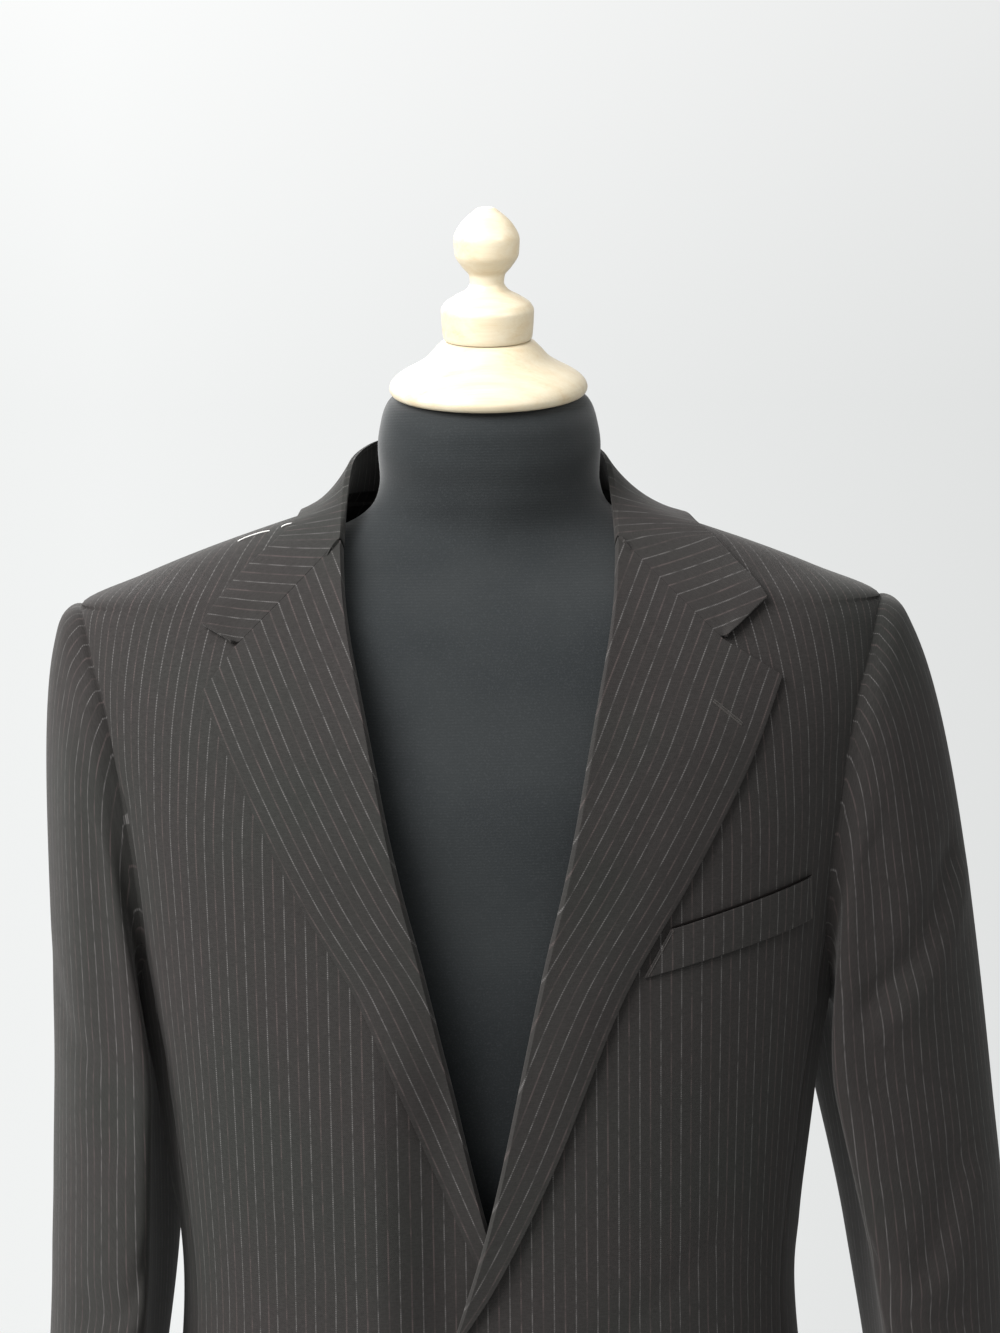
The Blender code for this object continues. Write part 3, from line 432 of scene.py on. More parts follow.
def woodFinish(name, tilt):
    # turned beech: growth rings as stretched noise bands, short dark flecks, thin varnish
    f = Finish(name, Roughness=0.42, Coat_Weight=0.18, Coat_Roughness=0.25, Specular_IOR_Level=0.4)
    spot = f.node("ShaderNodeTexCoord", output="Object")
    turned = f.stretch(spot, (0.10, 1, 1), tilt)
    bands = f.noise(turned, 150.0, 3.0, 0.5)
    fine = f.noise(f.stretch(turned, (2, 6, 6)), 150.0, 3.0, 0.6)
    fleck = f.noise(f.stretch(spot, (260, 55, 260)), 3.0, 2.0)
    grain = bands * 0.65 + fine * 0.35
    colour = f.node("ShaderNodeValToRGB", {"stops": (
        (0.30, (0.520, 0.415, 0.270)), (0.45, (0.560, 0.480, 0.340)), (0.58, (0.585, 0.520, 0.390)),
        (0.72, (0.605, 0.550, 0.430)))}, {0: grain})
    colour = f.mix(fleck.between(0.64, 0.76) * 0.18, colour, (0.42, 0.310, 0.190, 1))
    return f.put(Base_Color=colour, Roughness=0.34 + grain * 0.2, Normal=f.bump(grain, 0.08, 0.0006))


def hornFinish():
    # dark horn: brown clouds in near black, polished
    f = Finish("hornButton", Roughness=0.3, Specular_IOR_Level=0.5)
    spot = f.place()
    cloud = f.noise(spot, 210.0, 3.0)
    streak = f.noise(f.place((1, 1, 0.3)), 520.0, 2.0)
    colour = f.node("ShaderNodeValToRGB", {"stops": (
        (0.35, (0.012, 0.010, 0.009)), (0.52, (0.030, 0.022, 0.017)), (0.68, (0.085, 0.058, 0.038)))},
        {0: cloud * 0.7 + streak * 0.3})
    return f.put(Base_Color=colour, Roughness=0.26 + streak * 0.15, Normal=f.bump(streak, 0.05, 0.0003))


def threadFinish(name, dark, light, twist=0.0007, sheen=0.2):
    # twisted thread: diagonal light and dark plies
    f = Finish(name, Roughness=0.7, Sheen_Weight=sheen, Specular_IOR_Level=sheen * 1.5)
    spot = f.place()
    x, z = f.split(spot, "XZ")
    ply = ((x + z) * (2 * np.pi / twist)).sine() * 0.5 + 0.5
    fuzz = f.noise(spot, 1500.0, 2.0)
    colour = f.mix(ply * 0.6 + fuzz * 0.4, (*dark, 1), (*light, 1))
    return f.put(Base_Color=colour, Roughness=0.6 + fuzz * 0.25, Normal=f.bump(ply, 0.3, 0.0002))


def steelFinish(name, scale):
    # brushed steel: fine streaks in roughness and tone
    f = Finish(name, Metallic=1.0, Roughness=0.3)
    brush = f.noise(f.place(scale), 1.0, 3.0)
    cloud = f.noise(f.place(), 9.0, 2.0)
    colour = f.mix(brush, (0.50, 0.50, 0.51, 1), (0.66, 0.66, 0.67, 1))
    return f.put(Base_Color=colour, Roughness=0.20 + brush * 0.16 + cloud * 0.08,
                 Normal=f.bump(brush, 0.06, 0.0003))


suitCloth = suitFinish()
formJersey = jerseyFinish()
capWood = woodFinish("capWood", (0.2, 0.1, 0.3))
knobWood = woodFinish("knobWood", (1.2, 0.25, 0.1))
hornButton = hornFinish()
darkThread = threadFinish("darkThread", (0.012, 0.011, 0.010), (0.040, 0.034, 0.030))
brownThread = threadFinish("brownThread", (0.030, 0.022, 0.018), (0.085, 0.066, 0.052))
whiteThread = threadFinish("whiteThread", (0.62, 0.61, 0.58), (0.86, 0.86, 0.84), 0.0016)
# painted shade: a near-black thread finish without sheen, for the tube that stands in for the shadow in the
# breast welt's mouth
pocketShade = threadFinish("pocketShade", (0.0032, 0.0029, 0.0028), (0.0085, 0.0076, 0.0072), sheen=0.0)
baseSteel = steelFinish("baseSteel", (240, 240, 20))
poleSteel = steelFinish("poleSteel", (900, 900, 12))
print("finishes made")


# ---- the jacket's body

body = {
    "wall": 0.002,
    "shift": -0.006,
    "seamGap": 0.00012,
    "hem": 0.755,
    "sideSeamTop": 1.250,
    "shoulder": 1.437,
    "shoulderSeam": np.radians(96),
    "frontNeck": 1.4905,
    "backNeck": 1.4925,
    "edge": 0.00015,
    "rings": (  # height, half width, front, back
        (0.755, 0.205, 0.142, 0.150), (0.850, 0.200, 0.142, 0.148), (0.950, 0.187, 0.140, 0.134),
        (1.050, 0.178, 0.138, 0.118), (1.150, 0.188, 0.142, 0.124), (1.220, 0.199, 0.144, 0.134),
        (1.300, 0.212, 0.142, 0.140), (1.360, 0.224, 0.130, 0.138), (1.400, 0.231, 0.112, 0.126),
        (1.425, 0.2315, 0.095, 0.112), (1.437, 0.2285, 0.084, 0.102), (1.454, 0.192, 0.066, 0.086),
        (1.4675, 0.158, 0.050, 0.074), (1.479, 0.125, 0.036, 0.066), (1.487, 0.100, 0.026, 0.062),
        (1.493, 0.079, 0.018, 0.060)),
    "armhole": (  # angle on the sleeve, height, turn on the body
        (0, 1.437, 90), (8, 1.4345, 80.5), (18, 1.426, 73), (30, 1.410, 69), (50, 1.385, 64),
        (70, 1.355, 63.2), (90, 1.320, 63.7), (110, 1.285, 64.8), (130, 1.250, 67.5), (155, 1.218, 77),
        (180, 1.205, 90),
        (205, 1.218, 103), (230, 1.250, 111.5), (250, 1.285, 114), (270, 1.320, 115.5), (290, 1.355, 115.5),
        (310, 1.385, 114), (330, 1.410, 109), (342, 1.426, 105), (352, 1.4345, 98), (360, 1.437, 90)),
    "sleeveSeams": (130, 230),  # angles between which the side panel meets the sleeve
    "sideSeams": (67.5, 111.5),  # turns where the front and the back end: under the arm, then at the hem
    "hemSeams": (63, 114),
    "overlap": 0.020,  # of the fronts past the centre line
    "cutaway": 0.902,  # height below which the fronts' edges round away
    "lean": 0.34,  # how fast the stripes turn to the neck as the cloth leans back over the shoulder
}

# depth, width, then a drawn line of (length round from the centre front, height): the left and right side
# each listed
bodyCreases = {
    1: (
        (0.0016, 0.020, (0.232, 1.330), (0.238, 1.200), (0.236, 1.080)),
        (-0.0012, 0.016, (0.205, 1.345), (0.208, 1.235)),
        (-0.0009, 0.010, (0.020, 1.026), (0.075, 1.052), (0.130, 1.092)),
        (0.0007, 0.010, (0.030, 1.010), (0.090, 1.022), (0.150, 1.046)),
        (-0.0008, 0.011, (0.022, 1.018), (0.080, 0.985), (0.135, 0.958)),
        (-0.0013, 0.018, (0.262, 1.180), (0.268, 1.060), (0.262, 0.960)),
        (0.0012, 0.022, (0.215, 0.960), (0.222, 0.860), (0.226, 0.770)),
        (-0.0012, 0.020, (0.150, 0.900), (0.148, 0.820), (0.152, 0.760)),
        (-0.0014, 0.016, (0.345, 1.150), (0.372, 1.085), (0.420, 1.050)),
        (0.0011, 0.015, (0.350, 1.110), (0.385, 1.058), (0.440, 1.030)),
        (-0.0013, 0.022, (0.400, 1.330), (0.410, 1.240), (0.405, 1.150)),
        (0.0014, 0.024, (0.440, 0.930), (0.446, 0.840), (0.450, 0.765)),
        (-0.0010, 0.012, (0.470, 1.395), (0.430, 1.380), (0.390, 1.350)),
    ),
    -1: (
        (0.0018, 0.018, (0.236, 1.350), (0.240, 1.230), (0.232, 1.110)),
        (-0.0014, 0.014, (0.214, 1.330), (0.216, 1.250), (0.210, 1.190)),
        (-0.0008, 0.010, (0.024, 1.030), (0.070, 1.060), (0.112, 1.104)),
        (0.0007, 0.011, (0.035, 1.006), (0.095, 1.012), (0.150, 1.030)),
        (-0.0009, 0.012, (0.030, 1.010), (0.086, 0.972), (0.128, 0.936)),
        (-0.0011, 0.020, (0.255, 1.160), (0.262, 1.075), (0.252, 0.985)),
        (0.0013, 0.024, (0.200, 0.940), (0.214, 0.850), (0.216, 0.765)),
        (-0.0010, 0.018, (0.120, 0.880), (0.126, 0.810), (0.122, 0.757)),
        (-0.0013, 0.017, (0.335, 1.140), (0.366, 1.092), (0.405, 1.066)),
        (0.0011, 0.014, (0.345, 1.100), (0.390, 1.048), (0.430, 1.026)),
        (-0.0012, 0.020, (0.392, 1.310), (0.398, 1.225), (0.392, 1.140)),
        (0.0012, 0.022, (0.430, 0.900), (0.438, 0.830), (0.436, 0.765)),
        (-0.0009, 0.012, (0.465, 1.400), (0.425, 1.372), (0.398, 1.330)),
    ),
}

gorgeTop = (1.470, 0.0755)
notch = (1.4175, 0.1305)
foldLine = (
    (1.044, -0.020), (1.111, 0.0005), (1.235, 0.028), (1.259, 0.0335), (1.290, 0.0415), (1.326, 0.0495),
    (1.365, 0.0572), (1.395, 0.0635), (1.420, 0.0690), (1.442, 0.0728), (1.470, 0.0755))


def bodySurface(turn, height):
    x, y = section(turn, *ringAt(body["rings"], height))
    return np.stack([x, y, height + 0 * x], axis=-1)


def bodyNormal(turn, height):
    # cross product of the two steps along the surface
    step = 3e-4
    sideways = bodySurface(turn + step, height) - bodySurface(turn - step, height)
    upward = bodySurface(turn, height + step) - bodySurface(turn, height - step)
    normal = np.cross(sideways, upward)
    return normal / np.linalg.norm(normal, axis=-1, keepdims=True)


def bodyPoint(turn, height, out):
    return bodySurface(turn, height) + np.asarray(out)[..., None] * bodyNormal(turn, height)


def roundFrom(turn, height, steps=40):
    # length of the level section from the centre front to this turn: chords between equal shares
    turns = turn[..., None] * np.linspace(0, 1, steps + 1)
    x, y = section(turns, *(r[..., None] for r in ringAt(body["rings"], height)))
    return np.sign(turn) * np.hypot(np.diff(x), np.diff(y)).sum(-1)


def leaning(height, back=False):
    # how far the section has drawn in below the shoulder, which turns the stripes to the neck
    rings = ringAt(body["rings"], height)
    return np.maximum((0.140 if back else 0.142) - rings[2 if back else 1], 0) * ease(1.28, 1.35, height)


def tuck(x, height, side):
    # how far the wearer's right front lies under the left one near the centre line
    if side > 0:
        return np.zeros(np.broadcast(x, height).shape)
    lapels = ease(0.98, 1.06, height) * (1 - ease(1.16, 1.22, height))
    depth = 0.0045 + 0.0085 * lapels
    return -depth * (1 - ease(0.018, 0.062, x)) * (1 - ease(1.20, 1.27, height))


def drape(turn, height, side):
    # how far the body's creases lift or sink its surface
    return creases(roundFrom(turn, height), height, bodyCreases[side])


def seamTurn(height, front):
    which = 0 if front else 1
    top, hem = np.radians(body["sideSeams"][which]), np.radians(body["hemSeams"][which])
    return hem + (top - hem) * (height - body["hem"]) / (body["sideSeamTop"] - body["hem"])


def outerTurn(height, front):
    # where a front or back ends: side seam, then armhole, then shoulder seam
    low, high = body["sleeveSeams"]
    rows = [r for r in body["armhole"] if (r[0] <= low if front else r[0] >= high)]
    rows = np.array(sorted((h, np.radians(t)) for a, h, t in rows))
    hole = smoothCurve(rows[:, 0], rows[:, 1], height)
    return np.where(height <= body["sideSeamTop"], seamTurn(height, front),
                    np.where(height >= body["shoulder"], body["shoulderSeam"], hole))


def frontEdge(height):
    # the front's edge: cutaway, overlap, then just inside the fold of the lapel
    start, foldLow = body["cutaway"], foldLine[0][0]
    drop = np.clip((start - height) / (start - body["hem"]), 0, 1)
    low = -body["overlap"] + 0.030 * drop ** 1.8 + 0.052 * drop ** 8
    fold = lineAt(foldLine, height) + 0.0052 * ease(foldLow, 1.074, height)
    return np.where(height < foldLow, low, np.where(height <= gorgeTop[0], fold, gorgeTop[1] + 0.0058))


def seamSink(grid, first=False, last=False, depth=0.0004, reach=0.0026):
    # the cloth dips along a stitched seam: depth times the bell curve of the distance from the edge
    run = runs(grid, 1)
    total = run[:, -1:]
    sink = np.zeros(run.shape)
    if first:
        sink += np.exp(-(run / reach) ** 2)
    if last:
        sink += np.exp(-((total - run) / reach) ** 2)
    return -depth * sink


def gapAt(grid, first=False, last=False, top=False, gap=0.00003):
    # moves seam edges back by half the gap between two pieces
    grid = np.array(grid)
    for wanted, edge, inside in ((first, grid[:, 0], grid[:, 1]), (last, grid[:, -1], grid[:, -2]),
                                 (top, grid[-1], grid[-2])):
        if wanted:
            way = inside - edge
            edge += gap * way / np.linalg.norm(way, axis=1, keepdims=True)
    return grid


bodyHeights = np.concatenate([
    np.array([0.755, 0.7562, 0.758]), np.linspace(0.761, 1.250, 98), np.linspace(1.250, 1.4345, 56)[1:],
    np.linspace(1.437, body["frontNeck"], 26)])
bodyColumns = {"front": 72, "side": 32, "back": 62}


def makeFront(side):
    # rows are level; the map gives the length round from the centre front, and the height
    height = bodyHeights[:, None]
    start = turnAt(frontEdge(height), ringAt(body["rings"], height)[0])
    turn = start + (outerTurn(height, True) - start) * edged(bodyColumns["front"], 0.25)[None, :]
    height = height + 0 * turn
    bare = bodySurface(turn, height)
    out = tuck(bare[..., 0], height, side) + seamSink(bare, last=True)
    fold = lineAt(foldLine, np.clip(height, foldLine[0][0], gorgeTop[0]))
    clear = np.where(height > 1.05, ease(0.00, 0.05, bare[..., 0] - fold), 1)
    out = out + drape(turn, height, side) * clear
    grid = gapAt(bodyPoint(turn, height, out), last=True)
    across = roundFrom(turn, height) + body["lean"] * leaning(height)
    flat = np.stack([across, height - leaning(height) * 0.4], -1)
    sew("jacket front", side, [grid], [flat], body["wall"], body["edge"], body["shift"])


def makeSide(side):
    # a panel under the arm, from the front seam to the back seam, its top cut to the armhole
    (seamLow, seamHigh), (front, back) = body["sleeveSeams"], body["sideSeams"]
    low = np.array([(t, h) for a, h, t in body["armhole"] if seamLow <= a <= seamHigh], float)
    share = edged(bodyColumns["side"], 0.13)[None, :]
    top = smoothCurve(low[:, 0], low[:, 1], front + (back - front) * share)
    level = np.concatenate([[0, 0.002, 0.005], np.linspace(0.01, 1, 94)])[:, None]
    height = body["hem"] + (top - body["hem"]) * level
    first, last = seamTurn(height, True), seamTurn(height, False)
    turn = first + (last - first) * share
    bare = bodySurface(turn, height)
    out = seamSink(bare, True, True) + drape(turn, height, side)
    grid = gapAt(bodyPoint(turn, height, out), True, True)
    flat = np.stack([roundFrom(turn, height), height], -1)
    sew("jacket side", side, [grid], [flat], body["wall"], body["edge"], body["shift"])


vent = {"top": 0.93, "underlap": 0.032, "depth": 0.004, "seamShift": 0.0059}


def makeBack(side):
    # from the side seam to the centre seam; below the vent the right back runs on under the left one
    height = np.concatenate([bodyHeights, [body["backNeck"]]])[:, None]
    halfWidth = ringAt(body["rings"], height)[0]
    right = 1.0 if side < 0 else 0.0
    top = vent["top"]
    below = right * (1 - ease(top - 0.045, top - 0.025, height))
    sunk = right * (1 - ease(top - 0.01, top + 0.03, height))
    start, end = outerTurn(height, False), np.pi + turnAt(vent["underlap"] * below, halfWidth)
    turn = start + (end - start) * edged(bodyColumns["back"], 0.25)[None, :]
    height = height + 0 * turn
    bare = bodySurface(turn, height)
    out = -vent["depth"] * sunk * (1 - ease(0.012, 0.045, bare[..., 0]))
    seam = seamSink(bare, True, False) + seamSink(bare, False, True) * ease(top - 0.02, top + 0.02, height)
    grid = gapAt(bodyPoint(turn, height, out + seam + drape(turn, height, side)), True, True)
    across = roundFrom(np.full_like(turn, np.pi), height) - roundFrom(turn, height)
    flat = np.stack([across + vent["seamShift"] + 0.5 * body["lean"] * leaning(height, True), height], -1)
    sew("jacket back", side, [grid], [flat], body["wall"], body["edge"], body["shift"])


# ---- lapels and collar

lapel = {
    "wall": 0.002,
    "gap": 0.0007,
    "rollRise": 0.0045,
    "rollReach": 0.022,
    "rollHook": 0.0040,
    "tip": {-1: (1.3930, 0.1490), 1: (1.3980, 0.1620)},
    "corner": {-1: (1.4275, 0.1500), 1: (1.4375, 0.1560)},
    "edge": {
        -1: ((1.044, -0.0185), (1.080, 0.0020), (1.140, 0.0280), (1.235, 0.0660), (1.284, 0.0950),
             (1.345, 0.1265), (1.3930, 0.1490)),
        1: ((1.044, -0.0185), (1.080, 0.0040), (1.140, 0.0340), (1.236, 0.0740), (1.296, 0.1100),
            (1.357, 0.1440), (1.3980, 0.1620))},
    "collarEdge": {
        -1: ((1.4275, 0.1500), (1.442, 0.1412), (1.455, 0.1305), (1.470, 0.1140)),
        1: ((1.4375, 0.1560), (1.447, 0.1500), (1.458, 0.1410), (1.470, 0.1310))},
    "slope": 0.466,  # of the outer edge and the stripes above the tip
    "softEdge": 0.0006,
}
# the collar's fold and neck seam, the same on both sides: at its ends, over the shoulder and behind
collarFront = (0.0775, -0.018, 1.4955), (0.0775, -0.014, 1.4885)
collarTop = (0.0750, 0.005, 1.5150), (0.0755, 0.006, 1.4975)
collarNape = (0.0635, 0.038, 1.5265), (0.0630, 0.036, 1.4985)
collar = {
    "slant": {-1: 0.10, 1: 0.30},  # how far the stripes rise towards the edge
    "curl": 0.0020,
    # at each station the fold, the fall's control point, edge and neck seam
    "side": {
        -1: (
            (collarFront[0], (0.0865, -0.018, 1.4900), (0.1040, -0.018, 1.4846), collarFront[1]),
            (collarTop[0], (0.0855, 0.006, 1.4960), (0.1010, 0.006, 1.4900), collarTop[1]),
            (collarNape[0], (0.0750, 0.044, 1.5050), (0.0905, 0.052, 1.4850), collarNape[1])),
        1: (
            (collarFront[0], (0.0880, -0.018, 1.4893), (0.1235, -0.018, 1.4800), collarFront[1]),
            (collarTop[0], (0.0880, 0.006, 1.4938), (0.1165, 0.006, 1.4858), collarTop[1]),
            (collarNape[0], (0.0770, 0.044, 1.5050), (0.0960, 0.053, 1.4840), collarNape[1]))},
    "back": (
        ((0.035, 0.061, 1.5325), (0.041, 0.070, 1.5100), (0.049, 0.0765, 1.4845), (0.0345, 0.0555, 1.4985)),
        ((0.0, 0.0685, 1.5345), (0.0, 0.0765, 1.5120), (0.0, 0.0790, 1.4845), (0.0, 0.0620, 1.4985))),
}


def frontTurn(x, height):
    return turnAt(x, ringAt(body["rings"], height)[0])


def frontPoint(x, height, out):
    x, height = np.broadcast_arrays(np.asarray(x, float), np.asarray(height, float))
    return bodyPoint(frontTurn(x, height), height, out)


def layerOut(x, height, side):
    # how far the face of the lapel or collar stands off the body: wall, gap and the roll fading from the fold
    rise = lapel["rollRise"] * np.exp(-np.maximum(x - lineAt(foldLine, height), 0) / lapel["rollReach"])
    rise = rise * ease(1.039, 1.084, height)
    return lapel["wall"] + lapel["gap"] + rise + tuck(x, height, side)


def lapelOuter(height, side):
    tip = lapel["tip"][side]
    return np.where(height <= tip[0], lineAt(lapel["edge"][side], np.minimum(height, tip[0])),
                    np.where(height <= notch[0], straightAt(tip, notch, height),
                             straightAt(notch, gorgeTop, height)))


def lapelStripe(x, height, side):
    # distance in from the outer edge, which goes on upwards past the tip at its own slope
    tip = lapel["tip"][side][0]
    edge = lineAt(lapel["edge"][side], np.minimum(height, tip)) + lapel["slope"] * np.maximum(height - tip, 0)
    return (edge - x) * 0.905 + 0.0035


def makeLapel(side):
    # each level row turns round the fold, then runs out to the lapel's edge
    tip = lapel["tip"][side][0]
    height = np.concatenate([
        np.linspace(1.050, tip, 112), np.linspace(tip, notch[0], 12)[1:],
        np.linspace(notch[0], gorgeTop[0] - 0.0025, 26)[1:]])[:, None]
    fold, outer = lineAt(foldLine, height), lapelOuter(height, side)
    under = tuck(fold, height, side)
    hook = np.minimum(lapel["rollHook"], 0.7 * (outer - fold))
    first = fold + 0.35 * hook
    across = np.concatenate([fold + 0.9 * hook, fold + 0.2 * hook, fold, first], 1)
    outs = np.concatenate([under - 0.0046, under - 0.0032, under + 0.0012, layerOut(first, height, side)], 1)
    turnShare = np.linspace(0, 3, 13)
    roll = np.stack([across, outs], -1).transpose(1, 0, 2).reshape(4, -1)
    roll = smoothCurve(np.arange(4), roll, turnShare).reshape(13, -1, 2).transpose(1, 0, 2)
    x = first + (outer - first) * edged(38, 0.09)[None, 1:]
    flatOut = layerOut(x, height + 0 * x, side)
    belly = 0.0016 * np.sin(np.pi * np.clip((x - first) / (outer - first), 0, 1)) * ease(1.10, 1.25, height)
    x = np.concatenate([roll[..., 0], x], 1)
    out = np.concatenate([roll[..., 1], flatOut + belly * (1 - ease(1.34, 1.41, height))], 1)
    height = height + 0 * x
    sweep = creases(x, height, ((-0.0007, 0.012, (0.052, 1.250), (0.090, 1.330)),
                                (0.0006, 0.014, (0.045, 1.200), (0.060, 1.260))))
    out = out + sweep * ease(13, 20, np.arange(x.shape[1]))[None, :]
    grid = gapAt(frontPoint(x, height, out), top=True)
    gorge = height[:, 0] >= notch[0]
    grid[gorge, -1, 0] -= body["seamGap"]
    flat = np.stack([lapelStripe(x, height, side), height * 1.08], -1)
    sew("lapel", side, [grid], [flat], lapel["wall"], lapel["softEdge"], body["shift"])


def halfCollar(side):
    # the fall: level rows from the gorge to the edge, then sections over the fold and round to the back.
    # The stand: sections from the neck seam up to the fold.
    corner = lapel["corner"][side]
    low = np.concatenate([np.linspace(notch[0] + 0.0016, corner[0], 9),
                          np.linspace(corner[0], gorgeTop[0] - 0.001, 22)[1:]])[:, None]
    inner = straightAt(notch, gorgeTop, low) + body["seamGap"]
    edge = lineAt(lapel["collarEdge"][side], np.maximum(low, corner[0]))
    outer = np.where(low < corner[0], straightAt(notch, corner, low), edge)
    share = edged(30, 0.06)[None, :]
    x = inner + (outer - inner) * share
    # the free corner above the notch curls off the lapel
    curl = collar["curl"] * ease(0.35, 1.0, share) * (1 - ease(corner[0], corner[0] + 0.022, low))
    lowRows = frontPoint(x, low, layerOut(x, low + 0 * x, side) + curl)
    fold, control, end, seam = np.array(collar["side"][side] + collar["back"], float).transpose(1, 0, 2)
    t = share[0][None, :, None]
    fall = (1 - t) ** 2 * fold[:, None] + 2 * t * (1 - t) * control[:, None] + t * t * end[:, None]
    fall = np.concatenate([lowRows[-1:], fall])
    at = np.linspace(0, 5, 71)
    count = share.shape[1]
    fall = smoothCurve(np.arange(6), fall.reshape(6, -1), at).reshape(len(at), count, 3)
    inward = np.stack([-fold[:, 0], -fold[:, 1], 0 * fold[:, 0]], 1)
    inward /= np.linalg.norm(inward, axis=1, keepdims=True)
    crown = fold + inward * 0.0030 + (0, 0, 0.0010)
    middle = seam + (crown - seam) * 0.5 + inward * 0.0008
    stand = np.stack([seam, middle, crown - (0, 0, 0.0045), crown, fold + (0, 0, 0.0001)], 1)
    offsets = np.array(((0.0036, -0.0046), (0.0016, -0.0038), (-0.0001, -0.0010), (0.0002, 0.0030), (0, 0)))
    firstStand = frontPoint(gorgeTop[1] + offsets[:, 0], gorgeTop[0], offsets[:, 1])
    stand = np.concatenate([firstStand[None], stand])
    stand[0, -1] = lowRows[-1, 0]
    stand[1:, -1] = fold
    stand = smoothCurve(np.arange(6), stand.reshape(6, -1), at).reshape(len(at), 5, 3)
    stand = smoothCurve(np.arange(5), stand.transpose(1, 0, 2).reshape(5, -1), np.linspace(0, 4, 17))
    stand = stand.reshape(17, len(at), 3).transpose(1, 0, 2)
    stand[:, -1] = fall[:, 0]
    slant = collar["slant"][side]
    gorgeStripe = lapelStripe(inner, low, side) + 0 * x
    start = gorgeStripe[-1:, :1]
    run = runs(fall, 0)[:, 12:13]
    v = runs(fall, 1)
    fade = 1 - ease(0.02, 0.10, run)
    fallStripe = start + run - slant * v * fade
    lowFlat = np.stack([gorgeStripe - slant * runs(lowRows, 1), runs(lowRows, 1)], -1)
    fallFlat = np.stack([fallStripe, v], -1)
    standFlat = np.stack([start + run + 0 * stand[..., 0], runs(stand, 1) - 0.05], -1)
    rows = np.concatenate([lowRows[:-1], fall])
    return rows, np.concatenate([lowFlat[:-1], fallFlat]), stand, standFlat


def makeCollar():
    left, right = halfCollar(1), halfCollar(-1)
    mirror = np.array([-1, 1, 1])
    fall = np.concatenate([left[0], (right[0] * mirror)[::-1][1:]])
    fallFlat = np.concatenate([left[1], right[1][::-1][1:]])
    stand = np.concatenate([left[2], (right[2] * mirror)[::-1][1:]])
    standFlat = np.concatenate([left[3], right[3][::-1][1:]])
    sew("collar", 1, [fall, stand], [fallFlat, standFlat], lapel["wall"], lapel["softEdge"], body["shift"])


for side in (1, -1):
    makeFront(side)
    makeSide(side)
    makeBack(side)
    makeLapel(side)
makeCollar()
print("jacket body, lapels and collar made")


# ---- sleeves

sleeve = {
    "wall": 0.0018,
    "rings": {  # height, middle x, middle y, half x, half y, bow round the body
        -1: ((0.815, 0.2405, -0.040, 0.026, 0.064, 0.012), (0.930, 0.2345, -0.018, 0.027, 0.071, 0.022),
             (1.050, 0.2275, -0.003, 0.028, 0.079, 0.031), (1.160, 0.2255, 0.002, 0.0265, 0.084, 0.036)),
        1: ((0.815, 0.2690, -0.046, 0.031, 0.062, 0.016), (0.930, 0.2690, -0.026, 0.034, 0.069, 0.026),
            (1.050, 0.2640, -0.012, 0.038, 0.075, 0.038), (1.160, 0.2520, -0.006, 0.0405, 0.079, 0.050))},
    "top": 1.160,
    "headRows": 54,
    "levels": 320,  # level lines along which the head's stripes are spaced
    "radius": 0.075,  # turns the creases' angles into lengths
    "seams": (-110, 130, 250),  # degrees: the upper sleeve up to the second, the under sleeve on from it
}

# depth, width, then a drawn line of (angle in radians, length down from the shoulder)
sleeveCreases = {
    1: (
        (-0.0030, 0.012, (0.45, 0.150), (0.85, 0.190), (1.20, 0.205)),
        (0.0020, 0.012, (0.35, 0.172), (0.80, 0.214), (1.15, 0.235)),
        (-0.0022, 0.010, (0.75, 0.330), (1.05, 0.372), (1.20, 0.385)),
        (0.0016, 0.012, (0.60, 0.345), (0.95, 0.392), (1.20, 0.405)),
        (0.0012, 0.020, (0.85, 0.040), (0.80, 0.130), (0.90, 0.250)),
        (-0.0018, 0.018, (1.20, 0.090), (1.25, 0.180), (1.30, 0.280)),
        (-0.0020, 0.012, (1.90, 0.380), (1.50, 0.410), (1.00, 0.415)),
        (0.0014, 0.012, (1.80, 0.405), (1.40, 0.435), (0.90, 0.440)),
        (-0.0016, 0.014, (-1.10, 0.300), (-0.60, 0.345), (-0.10, 0.360)),
        (0.0014, 0.014, (-1.10, 0.330), (-0.60, 0.372), (-0.10, 0.385)),
        (-0.0014, 0.014, (-1.30, 0.120), (-0.95, 0.200), (-0.80, 0.290)),
        (-0.0012, 0.013, (0.20, 0.520), (0.50, 0.560), (0.70, 0.590)),
        (0.0010, 0.012, (-0.90, 0.480), (-0.60, 0.540), (-0.50, 0.600)),
    ),
    -1: (
        (-0.0014, 0.016, (1.15, 0.080), (1.15, 0.190), (1.20, 0.300)),
        (0.0012, 0.018, (0.80, 0.060), (0.75, 0.170), (0.80, 0.290)),
        (-0.0012, 0.012, (0.30, 0.210), (0.60, 0.240), (0.85, 0.250)),
        (-0.0020, 0.012, (1.80, 0.370), (1.40, 0.398), (0.95, 0.402)),
        (0.0015, 0.012, (1.75, 0.396), (1.35, 0.424), (0.90, 0.430)),
        (-0.0015, 0.013, (0.70, 0.440), (0.95, 0.470), (1.25, 0.480)),
        (-0.0016, 0.015, (-1.10, 0.310), (-0.60, 0.340), (-0.15, 0.348)),
        (0.0012, 0.014, (-1.05, 0.338), (-0.60, 0.368), (-0.15, 0.378)),
        (-0.0013, 0.014, (-1.25, 0.130), (-0.90, 0.220), (-0.80, 0.300)),
        (0.0010, 0.012, (-0.85, 0.470), (-0.55, 0.520), (-0.45, 0.590)),
        (-0.0010, 0.012, (0.25, 0.530), (0.45, 0.575), (0.60, 0.600)),
    ),
}


